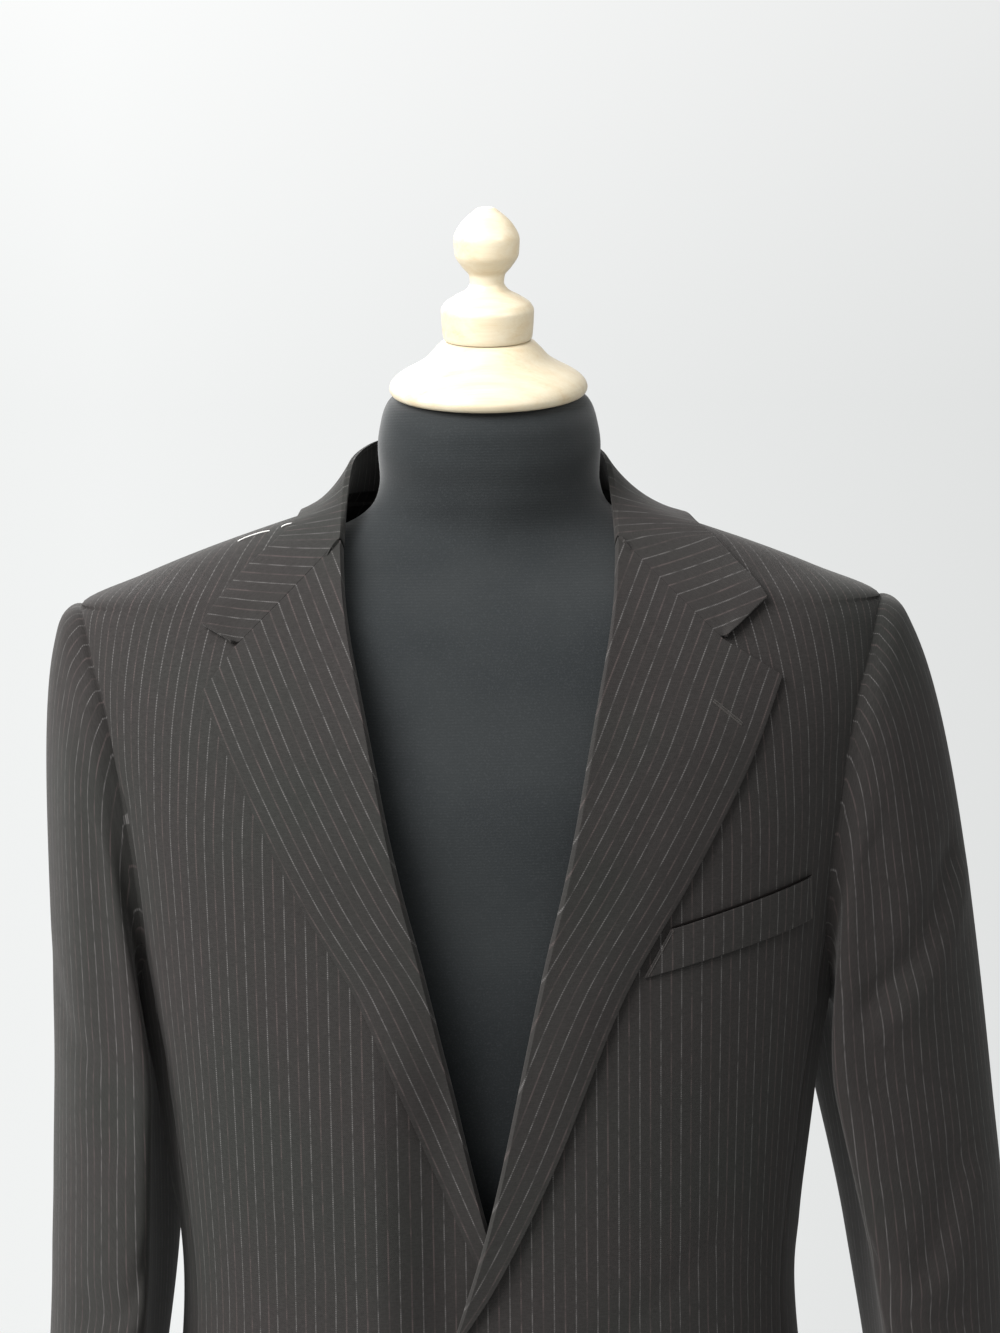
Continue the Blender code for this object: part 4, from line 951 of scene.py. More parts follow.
def armholePoint(angle, grow=0.0, out=-0.0001):
    # grow moves the point off the armhole, under the jacket's own cloth
    rows = np.array(body["armhole"], float)
    height, turn = np.moveaxis(smoothCurve(rows[:, 0], rows[:, 1:], np.degrees(angle) % 360), -1, 0)
    middle = 0.5 * (rows[:, 1:].max(0) + rows[:, 1:].min(0))
    height, turn = height + grow * (height - middle[0]), turn + grow * (turn - middle[1])
    return bodyPoint(np.radians(turn), height, np.full(height.shape, out))


def sleeveRing(angle, height, side):
    # flat oval, bent round the body by the squared sine
    middleX, middleY, halfX, halfY, bow = ringAt(sleeve["rings"][side], height)
    x = middleX + halfX * np.cos(angle) - bow * np.sin(angle) ** 2
    return np.stack([x, middleY - halfY * np.sin(angle), height + 0 * x], -1)


def wholeSleeve(side, angle):
    # above the biceps a Hermite curve off the armhole, below it the rings down to the cuff
    start = armholePoint(angle) + (0.0001, 0, 0)
    top = np.full(angle.shape, sleeve["top"])
    end = sleeveRing(angle, top, side)
    length = np.linalg.norm(end - start, axis=-1, keepdims=True)
    out = np.stack([0.36 + 0 * angle, -0.10 * np.sin(angle), 0.02 + 0 * angle], -1) * length
    down = -(end - sleeveRing(angle, top - 0.02, side)) / 0.02 * length * 1.15
    t = np.concatenate([[0, 0.006, 0.015], np.linspace(0.03, 1, sleeve["headRows"])])[:, None, None]
    head = (1 + 2 * t) * (1 - t) ** 2 * start + t * t * (3 - 2 * t) * end
    head = head + t * (1 - t) ** 2 * out - t * t * (1 - t) * down
    height = np.concatenate([np.linspace(sleeve["top"], 0.818, 68)[1:], [0.8165, 0.815]])[:, None]
    tucked = armholePoint(angle, 0.03, -0.0013)[None]
    return np.concatenate([tucked, head, sleeveRing(angle[None, :], height, side)])


def pushed(grid, out):
    # moves a grid along its normal: the cross product of its steps across and down
    across, down = np.gradient(grid, axis=1), np.gradient(grid, axis=0)
    normal = np.cross(down, across)
    normal /= np.linalg.norm(normal, axis=-1, keepdims=True)
    return grid + out[..., None] * normal


def levelRuns(grid, middle):
    # length along the level line through each point, from the middle column
    height = np.minimum.accumulate(grid[..., 2], axis=0) - 1e-7 * np.arange(len(grid))[:, None]
    levels = np.linspace(height.min(), height.max(), sleeve["levels"])
    line = np.stack([[np.interp(levels, height[::-1, c], grid[::-1, c, k]) for c in range(grid.shape[1])]
                     for k in (0, 1)], -1)
    steps = np.hypot(*np.moveaxis(np.diff(line, axis=0), -1, 0))
    run = np.concatenate([np.zeros((1, len(levels))), np.cumsum(steps, 0)])
    run = run - run[middle]
    return np.stack([np.interp(height[:, c], levels, run[c]) for c in range(grid.shape[1])], 1)


def makeSleeve(side):
    # upper and under sleeve are cut from one ring of columns, with a stitched dip at both seams
    first, second, third = sleeve["seams"]
    upper = np.concatenate([[first, -109.4], np.linspace(-108, 128.5, 106), [129.4, second]])
    under = np.concatenate([[second, 130.6], np.linspace(132, 248.5, 52), [249.4, third]])
    for name, degrees in (("upper", upper), ("under", under)):
        angle = np.radians(degrees)
        grid = wholeSleeve(side, angle)
        head = sleeve["headRows"] + 4  # with the tucked row and the three close ones at the seam
        down = runs(grid[1:], 0)
        down = np.concatenate([-np.linalg.norm(grid[1:2] - grid[:1], axis=-1), down])
        middle = int(np.argmin(np.abs(angle)))
        length = down[:, middle:middle + 1] if name == "upper" else down
        wrapped = angle[None, :] + 0 * down
        around = sleeve["radius"]
        lines = [(depth, width, *[(a * around, l) for a, l in points])
                 for depth, width, *points in sleeveCreases[side]]
        field = creases(wrapped * around, length, lines) * ease(0.0, 0.03, down)
        roped = 0.0012 * np.exp(-((down - 0.011) / 0.010) ** 2)
        roped = roped * ease(-1.6, -0.9, wrapped) * (1 - ease(0.9, 1.6, wrapped))
        field = field + roped + seamSink(grid, True, True, 0.0005, 0.0018)
        # the cloth turns in at the armhole seam
        field = field - 0.0003 * np.exp(-(down / 0.0015) ** 2)
        field[0] = 0
        grid = pushed(grid, -field)
        grid = gapAt(grid, True, True)
        # the stripes run down across level lines in the sleeve head, then keep their spacing
        run = runs(grid, 1) - runs(grid, 1)[:, middle:middle + 1]
        biceps = run[head - 1:head]
        across = np.concatenate([0.35 * biceps + 0.65 * levelRuns(grid[:head], middle), run[head:]])
        flat = np.stack([across, -down], -1)
        sew("sleeve " + name, side, [grid], [flat], sleeve["wall"], shift=body["shift"])


for side in (1, -1):
    makeSleeve(side)
print("sleeves made")


# ---- pockets, buttons and hand stitches

patches = {  # low and high corners as (x, height), what the face stands off, wall, rows, low corners' radius
    "breast welt": (
        (0.084, 1.244), (0.1795, 1.2645), (0.0985, 1.269), (0.1785, 1.2885), 0.0018, 0.0012, 14, 0),
    "hip flap": (
        (0.080, 0.930), (0.1775, 0.922), (0.078, 0.984), (0.1755, 0.976), 0.0034, 0.0020, 24, 0.010),
    "pocket jet": (
        (0.078, 0.9855), (0.1755, 0.9775), (0.078, 0.9905), (0.1755, 0.9825), 0.0032, 0.0015, 8, 0),
}
patchColumns = 60


def makePatch(kind, side):
    # bilinear between four corners, on the front's own surface and stripes
    lowInner, lowOuter, highInner, highOuter, out, wall, rows, radius = patches[kind]
    up, over = edged(rows, 0.03)[:, None, None], edged(patchColumns, 0.1)[None, :, None]
    inner = np.array(lowInner) * (1 - up) + np.array(highInner) * up
    outer = np.array(lowOuter) * (1 - up) + np.array(highOuter) * up
    place = inner + (outer - inner) * over
    x, height = place[..., 0], place[..., 1]
    up, over = up[..., 0], over[..., 0]
    end = np.maximum(1 - over / 0.12, 0) + np.maximum((over - 0.88) / 0.12, 0)
    height = height + radius * (1 - np.sqrt(np.clip(1 - end ** 2, 0, 1))) * (1 - up)
    turn = frontTurn(x, height)
    swell = 0.0003 * np.sin(np.pi * up) * np.sin(np.pi * over)
    grid = frontPoint(x, height, out + swell + drape(turn, height, side))
    flat = np.stack([roundFrom(turn, height) + body["lean"] * leaning(height), height], -1)
    sew(kind, side, [grid], [flat], wall, 0.0003, body["shift"])


makePatch("breast welt", 1)
for side in (1, -1):
    makePatch("hip flap", side)
    makePatch("pocket jet", side)

buttons = {
    "front": {"radius": 0.0100, "thickness": 0.0034, "hole": 0.0010, "spread": 0.0021},
    "sleeve": {"radius": 0.0075, "thickness": 0.0030, "hole": 0.0008, "spread": 0.0016},
    "heights": {"top": 1.028, "low": 0.922},
    "seat": 0.0006,
    "cuff": {"lowest": 0.840, "step": 0.0165, "angle": np.radians(294)},
}


def axesFor(normal, spin):
    # three rows: two directions across the button, turned by spin, and its normal
    normal = np.asarray(normal, float) / np.linalg.norm(normal)
    level = np.cross((0, 0, 1), normal)
    level /= np.linalg.norm(level)
    up, c, s = np.cross(normal, level), np.cos(spin), np.sin(spin)
    return np.stack([c * level + s * up, -s * level + c * up, normal])


def makeButton(words, kind, back, normal, spin):
    # a turned rim and dish with four holes pressed in, and two bars of thread crossing them
    size = buttons[kind]
    r, h = size["radius"], size["thickness"]
    rim = [(0, 0), (0.4 * r, 0), (0.85 * r, 0.02 * h), (0.955 * r, 0.16 * h), (r, 0.42 * h),
           (0.985 * r, 0.70 * h), (0.93 * r, 0.93 * h), (0.86 * r, h), (0.78 * r, 0.96 * h),
           (0.70 * r, 0.84 * h), (0.62 * r, 0.78 * h)]
    dish = [(share * r, 0.775 * h) for share in np.linspace(0.58, 0.03, 26)] + [(0, 0.775 * h)]
    profile = np.array(rim + dish)
    at = np.concatenate([np.linspace(0, 10, 44), np.arange(11, len(profile))])
    profile = smoothCurve(np.arange(len(profile)), profile, at)
    spots = size["spread"] * np.array([[1, 1], [1, -1], [-1, 1], [-1, -1]]) * 0.7071

    def rise(points):
        found = 0.0
        for spot in spots:
            away = np.hypot(points[..., 0] - spot[0], points[..., 1] - spot[1])
            found = found - 0.55 * h * np.exp(-(away / (0.80 * size["hole"])) ** 4)
        return found * (points[..., 2] > 0.5 * h)

    axes = axesFor(normal, spin)
    middle = np.asarray(back, float)
    name, node = named(words)
    attach(name, closedTurn(profile, 48, middle, axes, rise), hornButton, node)
    bars = []
    for first, second, lift in ((spots[0], spots[3], 0.0), (spots[1], spots[2], 0.00025)):
        for beside in (-0.00022, 0.00022):
            along = np.linspace(0, 1, 13)[:, None]
            across = np.array([-(second - first)[1], (second - first)[0]]) / np.linalg.norm(second - first)
            flatPath = first + (second - first) * along + across * beside
            heightAt = 0.32 * h + (0.52 * h + lift) * np.sin(np.pi * along) ** 0.35
            path = np.concatenate([flatPath, heightAt], 1) @ axes + middle
            bars.append(tube(path, 0.00024, 6))
    attach(name + "Thread", joined(bars), brownThread)


for word, spin in (("top", 0.25), ("low", -0.15)):
    back = frontPoint(0.0, buttons["heights"][word], buttons["seat"]) + (body["shift"], 0, 0)
    makeButton("front button " + word, "front", back, (0, -1, 0), spin)

for side, word in ((1, "left"), (-1, "right")):
    for number in range(4):
        cuff = buttons["cuff"]
        height, angle = cuff["lowest"] + cuff["step"] * number, cuff["angle"]
        around = sleeveRing(angle + 0.02, height, side) - sleeveRing(angle - 0.02, height, side)
        down = sleeveRing(angle, height - 0.001, side) - sleeveRing(angle, height + 0.001, side)
        normal = np.cross(around, down)
        normal /= np.linalg.norm(normal)
        back = sleeveRing(angle, height, side) + normal * buttons["seat"]
        makeButton(f"sleeve button {word} {number + 1}", "sleeve",
                   back * (side, 1, 1) + (body["shift"], 0, 0), normal * (side, 1, 1), 0.3 + 0.5 * number)


def stitchBar(points, width, bite):
    # a corded bar of close stitches: a tube whose radius swells once for every stitch
    path = np.array(points, float) + (body["shift"], 0, 0)
    length = np.linalg.norm(np.diff(path, axis=0), axis=1).sum()
    fine = smoothCurve(np.linspace(0, 1, len(path)), path, np.linspace(0, 1, int(length / bite * 5)))
    swell = 1 + 0.16 * np.sin(np.arange(len(fine)) * 2 * np.pi / 5)
    ends = np.sqrt(np.clip(1 - np.linspace(-1, 1, len(fine)) ** 12, 0.05, 1))
    return tube(fine, width * swell * ends, 8)


def makeButtonholes():
    # the lapel's worked buttonhole and the fronts' two, as pairs of corded edges
    x, height = np.linspace(0.123, 0.1385, 9), np.linspace(1.3865, 1.3735, 9)
    shapes = []
    for beside in (-0.00055, 0.00055):
        line = frontPoint(x + beside * 0.6, height + beside * 0.75, layerOut(x, height, 1) + 0.00025)
        shapes.append(stitchBar(line, 0.00055, 0.0006))
    for hole in buttons["heights"].values():
        x, height = np.linspace(-0.0165, 0.0035, 9), np.full(9, hole)
        for beside in (-0.0006, 0.0006):
            shapes.append(stitchBar(frontPoint(x, height + beside, np.full(9, 0.0002)), 0.00055, 0.0006))
    attach("buttonholes", joined(shapes), darkThread)


def between(low, high, t):
    # both numbers of a pair, read in equal shares from low to high
    return low[0] + (high[0] - low[0]) * t, low[1] + (high[1] - low[1]) * t


def makeTacks():
    # two long white basting stitches left in at the right shoulder seam, as (height, turn)
    shapes, t = [], np.linspace(0, 1, 17)
    for low, high in (((1.4720, 69.5), (1.4780, 66.0)), ((1.4798, 64.8), (1.4818, 62.0))):
        height, turn = between(low, high, t)
        lift = -0.0006 + 0.0014 * np.sin(np.pi * t) ** 0.4
        line = bodyPoint(np.radians(turn), height, lift)
        shapes.append(tube(line * (-1, 1, 1) + (body["shift"], 0, 0), 0.00036 + 0 * t, 8))
    attach("shoulderTacks", joined(shapes), whiteThread)


def makeWeltStitches():
    # bars at the welt's ends as (x, height), and a near-black tube along the top edge: painted shade for the
    # shadowed slit of its mouth
    shapes = []
    for low, high in (((0.0860, 1.2450), (0.1000, 1.2690)), ((0.1780, 1.2650), (0.1772, 1.2878))):
        x, height = between(low, high, np.linspace(0, 1, 9))
        out = 0.0019 + drape(frontTurn(x, height), height, 1)
        shapes.append(stitchBar(frontPoint(x, height, out), 0.00025, 0.0012))
    attach("weltBars", joined(shapes), darkThread)
    # painted shade: a near-black matte tube laid over the welt's top edge, standing in for the shadow inside
    # the pocket's mouth
    t = np.linspace(0, 1, 41)
    x, height = 0.0985 + 0.0800 * t, 1.2698 + 0.0195 * t
    out = 0.0011 + drape(frontTurn(x, height), height, 1)
    radius = 0.00064 * np.sqrt(np.clip(1 - (2 * t - 1) ** 10, 0.02, 1))
    attach("weltMouthShade", tube(frontPoint(x, height, out) + (body["shift"], 0, 0), radius, 8), pocketShade)


makeButtonholes()
makeTacks()
makeWeltStitches()
print("pockets, buttons and stitches made")


# ---- trousers

trousers = {
    "wall": 0.0015,
    "gap": 0.0003,
    "rings": (  # height, centre x, half width, front, back, power
        (0.036, 0.101, 0.045, 0.094, 0.088, 1.75), (0.200, 0.101, 0.050, 0.094, 0.088, 1.80),
        (0.350, 0.100, 0.056, 0.094, 0.089, 1.85), (0.500, 0.098, 0.064, 0.095, 0.092, 1.95),
        (0.620, 0.096, 0.073, 0.098, 0.098, 2.05), (0.720, 0.094, 0.082, 0.101, 0.106, 2.15),
        (0.800, 0.0915, 0.0905, 0.106, 0.112, 2.25), (0.812, 0.0885, 0.0905, 0.107, 0.113, 2.3),
        (0.835, 0.0780, 0.1020, 0.108, 0.115, 2.3), (0.870, 0.0520, 0.1280, 0.111, 0.118, 2.3),
        (0.910, 0.0240, 0.1540, 0.114, 0.119, 2.3), (0.960, 0.0060, 0.1640, 0.115, 0.117, 2.3),
        (1.000, 0.0000, 0.1610, 0.114, 0.111, 2.3), (1.045, 0.0000, 0.1505, 0.1115, 0.1045, 2.3)),
    "waist": (0.1500, 0.1110, 0.1040),
    "bandWall": 0.0025,
}

# depth, width, then a drawn line of (length from the pressed crease, height): front and back of each leg
legCreases = {
    (1, True): (
        (-0.0020, 0.014, (-0.060, 0.770), (-0.020, 0.735), (0.030, 0.722)),
        (0.0015, 0.013, (-0.060, 0.742), (-0.022, 0.708), (0.026, 0.694)),
        (-0.0016, 0.012, (0.050, 0.520), (0.010, 0.500), (-0.040, 0.506)),
        (0.0013, 0.013, (0.045, 0.494), (0.000, 0.474), (-0.045, 0.482)),
        (-0.0022, 0.013, (-0.055, 0.132), (-0.020, 0.108), (0.020, 0.104)),
        (0.0020, 0.014, (-0.050, 0.106), (-0.015, 0.080), (0.030, 0.078)),
        (-0.0014, 0.016, (0.070, 0.330), (0.072, 0.250), (0.062, 0.170)),
    ),
    (-1, True): (
        (-0.0018, 0.015, (-0.064, 0.764), (-0.025, 0.738), (0.022, 0.730)),
        (0.0014, 0.013, (-0.062, 0.736), (-0.020, 0.712), (0.028, 0.700)),
        (-0.0015, 0.012, (0.055, 0.508), (0.012, 0.486), (-0.030, 0.488)),
        (0.0012, 0.013, (0.050, 0.482), (0.004, 0.462), (-0.038, 0.466)),
        (-0.0020, 0.013, (-0.052, 0.122), (-0.012, 0.098), (0.026, 0.100)),
        (0.0018, 0.013, (-0.048, 0.098), (-0.010, 0.072), (0.032, 0.074)),
        (-0.0012, 0.016, (0.066, 0.380), (0.070, 0.290), (0.060, 0.210)),
    ),
    (1, False): (
        (-0.0024, 0.015, (-0.070, 0.752), (-0.020, 0.716), (0.040, 0.704)),
        (0.0016, 0.014, (-0.068, 0.722), (-0.018, 0.690), (0.044, 0.678)),
        (-0.0022, 0.013, (-0.050, 0.482), (0.000, 0.468), (0.052, 0.476)),
        (0.0016, 0.013, (-0.050, 0.456), (0.004, 0.444), (0.055, 0.450)),
        (-0.0014, 0.013, (-0.040, 0.430), (0.010, 0.420), (0.048, 0.424)),
        (-0.0018, 0.014, (-0.045, 0.110), (0.000, 0.092), (0.045, 0.098)),
    ),
    (-1, False): (
        (-0.0022, 0.015, (-0.072, 0.746), (-0.024, 0.720), (0.036, 0.712)),
        (0.0015, 0.014, (-0.070, 0.716), (-0.020, 0.694), (0.040, 0.686)),
        (-0.0020, 0.013, (-0.052, 0.490), (-0.004, 0.474), (0.046, 0.480)),
        (0.0015, 0.013, (-0.050, 0.464), (0.000, 0.450), (0.050, 0.456)),
        (-0.0016, 0.014, (-0.048, 0.116), (-0.004, 0.100), (0.040, 0.102)),
        (0.0014, 0.013, (-0.044, 0.090), (0.000, 0.074), (0.044, 0.078)),
    ),
}


def legPoint(share, height, front):
    # across a panel: share 0 at the inseam or the centre seam, 1 at the side seam
    centreX, halfWidth, depth, back, power = ringAt(trousers["rings"], height)
    cut = centreX - halfWidth < trousers["gap"]
    reach = turnAt(-(centreX - trousers["gap"] / 2), halfWidth, power)
    inner = np.where(cut, np.where(centreX > 0, reach, 0.0), -np.pi / 2)
    turn = inner + (np.pi / 2 - inner) * share
    x, y = section(turn if front else np.pi - turn, halfWidth, depth, back, power)
    point = np.stack([np.maximum(centreX + x, trousers["gap"] / 2), y, height + 0 * x], -1)
    return point, x


def makeLeg(side, front):
    # the map gives the length from the pressed crease, so the stripes run with it
    height = np.concatenate([
        [0.036, 0.0375, 0.040], np.linspace(0.044, 0.800, 126), np.linspace(0.8035, 1.045, 44)])[:, None]
    share = edged(54, 0.18)[None, :]
    grid, x = legPoint(share, height, front)
    run = runs(grid, 1)
    crease = np.abs(x).argmin(axis=1)
    across = run - np.take_along_axis(run, crease[:, None], 1)
    pressed = 0.0012 * np.exp(-(across / 0.0035) ** 2) * (1 - ease(0.86, 0.98, height))
    field = creases(across, height, legCreases[(side, front)]) + pressed
    field = field + seamSink(grid, True, True, 0.0005, 0.002)
    edgeFade = np.minimum(run, run[:, -1:] - run)
    field = field * ease(0.0, 0.0025, edgeFade + 0.0012)
    centre = ease(0.0, 0.004, grid[..., 0])  # nothing crosses the centre plane
    grid = pushed(grid, field * centre * (-1 if front else 1))
    grid[..., 0] = np.maximum(grid[..., 0], trousers["gap"] / 2)
    grid = gapAt(grid, True, True)
    flat = np.stack([across, height + 0 * across], -1)
    if not front:
        grid, flat = grid[:, ::-1], flat[:, ::-1]
    sew("trouser front" if front else "trouser back", side, [grid], [flat], trousers["wall"], 0.0004)


def makeWaistband():
    # one band round the waist, open by a seam's width at the front, with a rolled edge
    height = np.concatenate([[1.0453, 1.0463], np.linspace(1.048, 1.080, 14), [1.082, 1.083]])[:, None]
    turn = np.linspace(0.002, 2 * np.pi - 0.002, 190)[None, :]
    x, y = section(turn, *trousers["waist"])
    x, y = x + 0 * height, y + 0 * height
    grid = np.stack([x, y, height + 0 * x], -1)
    flat = np.stack([runs(grid, 1), height + 0 * x], -1)
    sew("waistband", 1, [grid], [flat], trousers["bandWall"])


def makeFly():
    # a flat strip on the left front, narrowing to its foot
    height = np.linspace(0.905, 1.040, 40)[:, None]
    width = 0.036 * np.minimum(1, (height - 0.895) / 0.04) ** 0.5
    x = 0.0006 + width * edged(16, 0.036)[None, :]
    halfWidth, depth, back, power = ringAt(trousers["rings"], height)[1:]
    sx, sy = section(turnAt(x, halfWidth, power), halfWidth, depth, back, power)
    grid = np.stack([sx, sy - 0.0020, height + 0 * sx], -1)
    flat = np.stack([x, height + 0 * x], -1)
    sew("fly facing", 1, [grid], [flat], 0.0012, 0.0003)


for side in (1, -1):
    makeLeg(side, True)
    makeLeg(side, False)
makeWaistband()
makeFly()
print("trousers made")


# ---- the dress form, its wooden cap and its stand

waistIn = (0.147, 0.108, 0.101)
formShape = {
    "rings": (
        (0.8780, 0.128, 0.080, 0.083, 2.3), (0.8840, 0.141, 0.092, 0.096, 2.3),
        (0.9050, 0.150, 0.100, 0.105, 2.3), (0.9600, 0.154, 0.104, 0.108, 2.3),
        (1.0300, *waistIn, 2.3), (1.0880, *waistIn, 2.3),
        (1.1600, 0.151, 0.112, 0.104, 2.3), (1.2500, 0.163, 0.122, 0.117, 2.3),
        (1.3200, 0.172, 0.122, 0.124, 2.3), (1.3800, 0.188, 0.105, 0.118, 2.2),
        (1.4200, 0.206, 0.088, 0.104, 2.2), (1.4370, 0.205, 0.075, 0.095, 2.1),
        (1.4540, 0.180, 0.057, 0.080, 1.75), (1.4675, 0.130, 0.050, 0.064, 1.5),
        (1.4790, 0.086, 0.049, 0.054, 1.5),
        (1.4900, 0.0675, 0.0525, 0.051, 1.8), (1.5050, 0.0625, 0.0545, 0.052, 2.0),
        (1.5250, 0.0635, 0.057, 0.055, 2.1), (1.5410, 0.0610, 0.057, 0.055, 2.1),
        (1.5500, 0.0570, 0.053, 0.051, 2.1), (1.5535, 0.0480, 0.045, 0.043, 2.1)),
    "leanFrom": 1.48,
    "lean": np.radians(13),
    "top": 1.5535,
}
standShape = {
    "radius": 0.19,
    "thickness": 0.012,
    "polePlace": (0.098, 0, 0),
    "poleFoot": 0.0123,
    "poleTop": 0.8777,
}


def leaned(points):
    # the neck bends forward as it rises
    x, y, z = np.moveaxis(np.asarray(points, float), -1, 0)
    lean = formShape["lean"] * ease(formShape["leanFrom"], formShape["top"] - 0.01, z)
    rise = np.maximum(z - formShape["leanFrom"], 0)
    return np.stack([x, y * np.cos(lean) - 0.35 * rise * np.sin(lean), z + y * np.sin(lean)], -1)


def makeForm():
    # level squared ellipses joined up a closed loft, with a point at each pole
    low, high = formShape["rings"][0][0], formShape["rings"][-1][0]
    height = np.concatenate([
        np.linspace(low, 0.91, 22), np.linspace(0.92, 1.36, 46), np.linspace(1.366, 1.545, 60),
        np.linspace(1.5465, high, 10)])[:, None]
    turn = np.linspace(0, 2 * np.pi, 160, endpoint=False)[None, :]
    # about the neck the rings are averaged over 14 mm of height, so that no line shows
    rings, steps = formShape["rings"], np.linspace(-0.007, 0.007, 9)
    sizes = ringAt(rings, height)
    spread = sum(np.array(ringAt(rings, height + step)) for step in steps) / len(steps)
    share = ease(1.405, 1.425, height) * (1 - ease(1.500, 1.512, height))
    sizes = np.array(sizes) + share * (spread - sizes)
    x, y = section(turn, *sizes)
    grid = leaned(np.stack([x, y, height + 0 * x], -1))
    poles = leaned(np.array([[0, 0, low], [0, 0, high]]))
    points = np.concatenate([grid.reshape(-1, 3), poles])
    attach("dressForm", (points, closedFaces(*x.shape)), formJersey, "dress_form")


def makeTurned(words, profile, steps, middle, tilt, finish, fine):
    # the drawn profile read as a smooth curve, then turned
    profile = np.array(profile, float)[::-1]
    profile = smoothCurve(np.arange(len(profile)), profile, np.linspace(0, len(profile) - 1, fine))
    keep = np.concatenate([[True], profile[1:-1, 0] > 1e-5, [True]])
    axes = np.array([[1, 0, 0], [0, np.cos(tilt), np.sin(tilt)], [0, -np.sin(tilt), np.cos(tilt)]])
    name, node = named(words)
    attach(name, closedTurn(profile[keep], steps, middle, axes), finish, node)


def makeCap():
    # a flared cap seated square on the leaning neck, and a knob on top
    rims = leaned(np.array([[0, 0.043, formShape["top"]], [0, -0.045, formShape["top"]]]))
    seat = rims.mean(axis=0) * (0, 1, 1) + (0, 0, 0.0003)
    tilt = formShape["lean"]
    makeTurned("neck cap", (
        (0, 0.0310), (0.0225, 0.0310), (0.0248, 0.0306), (0.0264, 0.0297), (0.0300, 0.0262), (0.0350, 0.0208),
        (0.0415, 0.0165), (0.0490, 0.0125), (0.0535, 0.0092), (0.0556, 0.0064), (0.0562, 0.0042),
        (0.0556, 0.0020), (0.0540, 0.0005), (0.0515, 0.0), (0.030, 0.0), (0, 0.0)),
        128, seat, tilt, capWood, 121)
    up = np.array([0, -np.sin(tilt), np.cos(tilt)])
    makeTurned("neck knob", (
        (0, 0.0740), (0.0040, 0.0735), (0.0085, 0.0705), (0.0150, 0.0640), (0.0185, 0.0560), (0.0180, 0.0480),
        (0.0140, 0.0410), (0.0100, 0.0360), (0.0095, 0.0320), (0.0120, 0.0280), (0.0190, 0.0240),
        (0.0245, 0.0200), (0.0262, 0.0160), (0.0258, 0.0080), (0.0250, 0.0012), (0.0240, 0.0),
        (0.012, 0.0), (0, 0.0)),
        96, seat + up * 0.0313, tilt, knobWood, 120)


def makeStand():
    # a thin round plate with a softened rim, and a pole inside the left leg
    r, h = standShape["radius"], standShape["thickness"]
    makeTurned("stand base", (
        (0, h), (0.10, h), (r - 0.008, h), (r - 0.0045, h - 0.0004), (r - 0.002, h - 0.0018),
        (r - 0.0003, h - 0.0042), (r, 0.0060), (r, 0.0030), (r - 0.0006, 0.0012), (r - 0.002, 0.0),
        (0.10, 0.0), (0, 0.0)),
        160, (0, 0, 0), 0.0, baseSteel, 67)
    top, foot = standShape["poleTop"], standShape["poleFoot"]
    makeTurned("stand pole", (
        (0, top), (0.0060, top), (0.0116, top), (0.0123, top - 0.0003), (0.0125, top - 0.0012), (0.0125, 0.6),
        (0.0125, 0.3), (0.0125, foot + 0.0012), (0.0123, foot + 0.0003), (0.0116, foot), (0.0060, foot),
        (0, foot)), 64, standShape["polePlace"], 0.0, poleSteel, 56)


makeForm()
makeCap()
makeStand()
print("form and stand made")


# ---- floor, light and camera

studio = {
    "floor": (0.52, 0.53, 0.525),
    "heights": ((0.02, (0.985, 1.0, 0.995)), (0.20, (1.09, 1.10, 1.095)), (0.80, (1.30, 1.32, 1.32))),
    "sides": ((0.0, 0.76), (0.30, 0.84), (0.42, 0.90), (0.60, 0.765), (0.72, 0.42), (1.0, 0.24)),
    "lens": 65.64,
    "eye": (0.0046, -1.3947, 1.5196),
    "pitch": np.radians(5),
    "roll": np.radians(0.7),
}


def makeFloor():
    # a wide round floor with a faint unevenness, fading out into the backdrop
    steps, radii = 96, np.array([0.001, 0.4, 0.8, 1.2, 1.6, 2.0, 2.4, 2.8, 3.2])[:, None]
    angle = np.linspace(0, 2 * np.pi, steps, endpoint=False)[None, :]
    points = np.stack([radii * np.cos(angle), radii * np.sin(angle), 0 * radii * angle - 0.0005], -1)
    f = Finish("paleFloor", Roughness=0.75, Specular_IOR_Level=0.2)
    spot = f.place()
    cloud = f.noise(spot, 1.3, 3.0)
    away = f.node("ShaderNodeVectorMath", {"operation": "LENGTH"}, {0: spot}, "Value")
    floor = studio["floor"]
    colour = f.mix(cloud, (*floor, 1), (floor[0] * 1.03, floor[1] * 1.03, floor[2] * 1.03, 1))
    material = f.put(Base_Color=colour, Alpha=away.between(1.1, 3.0, 1.0, 0.0))
    addPiece("floor", points, gridFaces(len(radii), steps, 0, True, True), None, material)


def addLight(name, kind, place, aim, power, colour, **settings):
    # turned so that its own -Z looks at the aim
    light = bpy.data.lights.new(name, kind)
    light.energy, light.color = power, colour
    for key, value in settings.items():
        setattr(light, key, value)
    lamp = bpy.data.objects.new(name, light)
    lamp.location = place
    lamp.rotation_euler = (Vector(aim) - Vector(place)).to_track_quat("-Z", "Y").to_euler()
    bpy.context.scene.collection.objects.link(lamp)
    return lamp


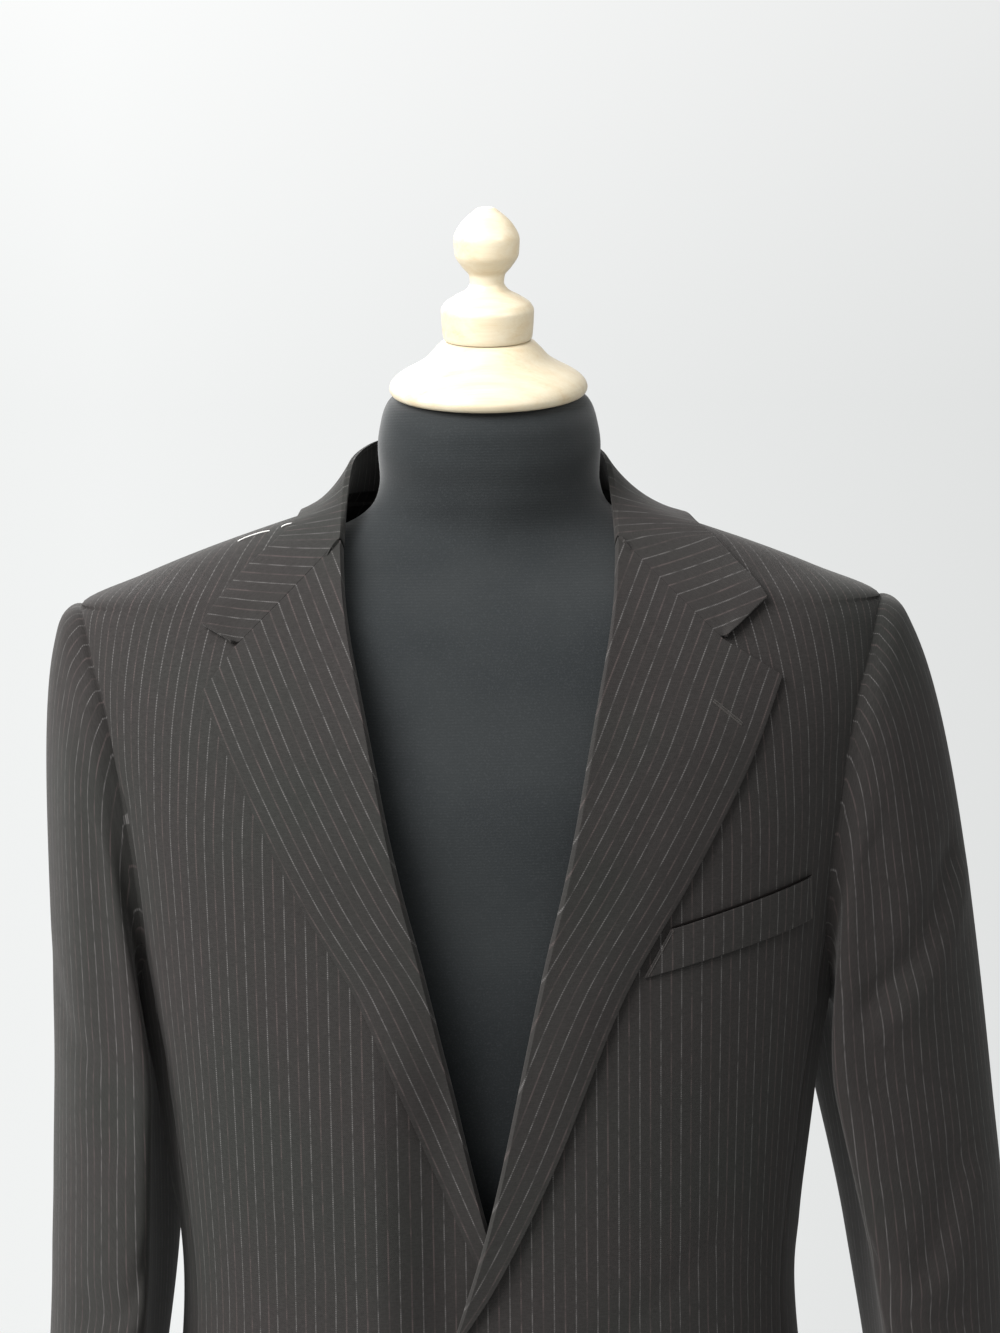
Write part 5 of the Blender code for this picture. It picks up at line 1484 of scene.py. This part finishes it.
def makeLights():
    # a broad key from the upper left, a weak fill, one from behind, and a narrow one on the wooden cap
    for name, place, aim, power, colour, size, width in (
            ("key", (-2.15, -1.95, 3.35), 1.30, 265, (1.0, 0.985, 0.98), 2.4, 2.4),
            ("fill", (2.4, -2.0, 1.9), 1.20, 3, (0.96, 0.98, 1.0), 2.0, 2.0),
            ("back", (-0.9, 2.5, 3.0), 1.35, 60, (1.0, 1.0, 1.0), 2.2, 1.6)):
        addLight(name, "AREA", place, (0, 0, aim), power, colour, shape="RECTANGLE", size=size, size_y=width)
    addLight("capLight", "SPOT", (1.7, -1.6, 2.5), (0.02, 0, 1.655), 235, (1.0, 0.96, 0.90),
                      spot_size=np.radians(5.5), spot_blend=0.7, shadow_soft_size=0.12)


def makeWorld():
    # a plain backdrop, a little paler overhead and falling off from one side to the other
    world = bpy.data.worlds.new("studio")
    world.use_nodes = True
    tree = world.node_tree
    spot = tree.nodes.new("ShaderNodeTexCoord")
    split = tree.nodes.new("ShaderNodeSeparateXYZ")
    tree.links.new(spot.outputs["Generated"], split.inputs[0])

    def ramp(source, stops):
        node = tree.nodes.new("ShaderNodeValToRGB")
        colours = node.color_ramp.elements
        for place, _ in stops[1:-1]:
            colours.new(place)
        for element, (place, colour) in zip(colours, stops):
            element.position, element.color = place, (*colour, 1)
        tree.links.new(source, node.inputs[0])
        return node.outputs[0]

    half = tree.nodes.new("ShaderNodeMapRange")
    half.inputs["From Min"].default_value = -1.0
    tree.links.new(split.outputs["X"], half.inputs[0])
    both = tree.nodes.new("ShaderNodeMix")
    both.data_type, both.blend_type = "RGBA", "MULTIPLY"
    both.inputs[0].default_value = 1.0
    sides = [(place, (share, share, share)) for place, share in studio["sides"]]
    tree.links.new(ramp(split.outputs["Z"], studio["heights"]), both.inputs[6])
    tree.links.new(ramp(half.outputs[0], sides), both.inputs[7])
    tree.links.new(both.outputs[2], tree.nodes["Background"].inputs[0])
    bpy.context.scene.world = world


def makeCamera():
    # level with the neck, looking slightly down, and rolled
    camera = bpy.data.cameras.new("camera")
    camera.sensor_fit, camera.sensor_height = "VERTICAL", 36
    camera.lens, camera.clip_end = studio["lens"], 200
    eye = bpy.data.objects.new("camera", camera)
    turned = Matrix.Rotation(np.pi / 2 - studio["pitch"], 4, "X") @ Matrix.Rotation(-studio["roll"], 4, "Z")
    eye.matrix_world = Matrix.Translation(studio["eye"]) @ turned
    bpy.context.scene.collection.objects.link(eye)
    bpy.context.scene.camera = eye


makeFloor()
makeLights()
makeWorld()
makeCamera()
bpy.context.scene.view_settings.view_transform = "Standard"
print("stage, lights and camera made")
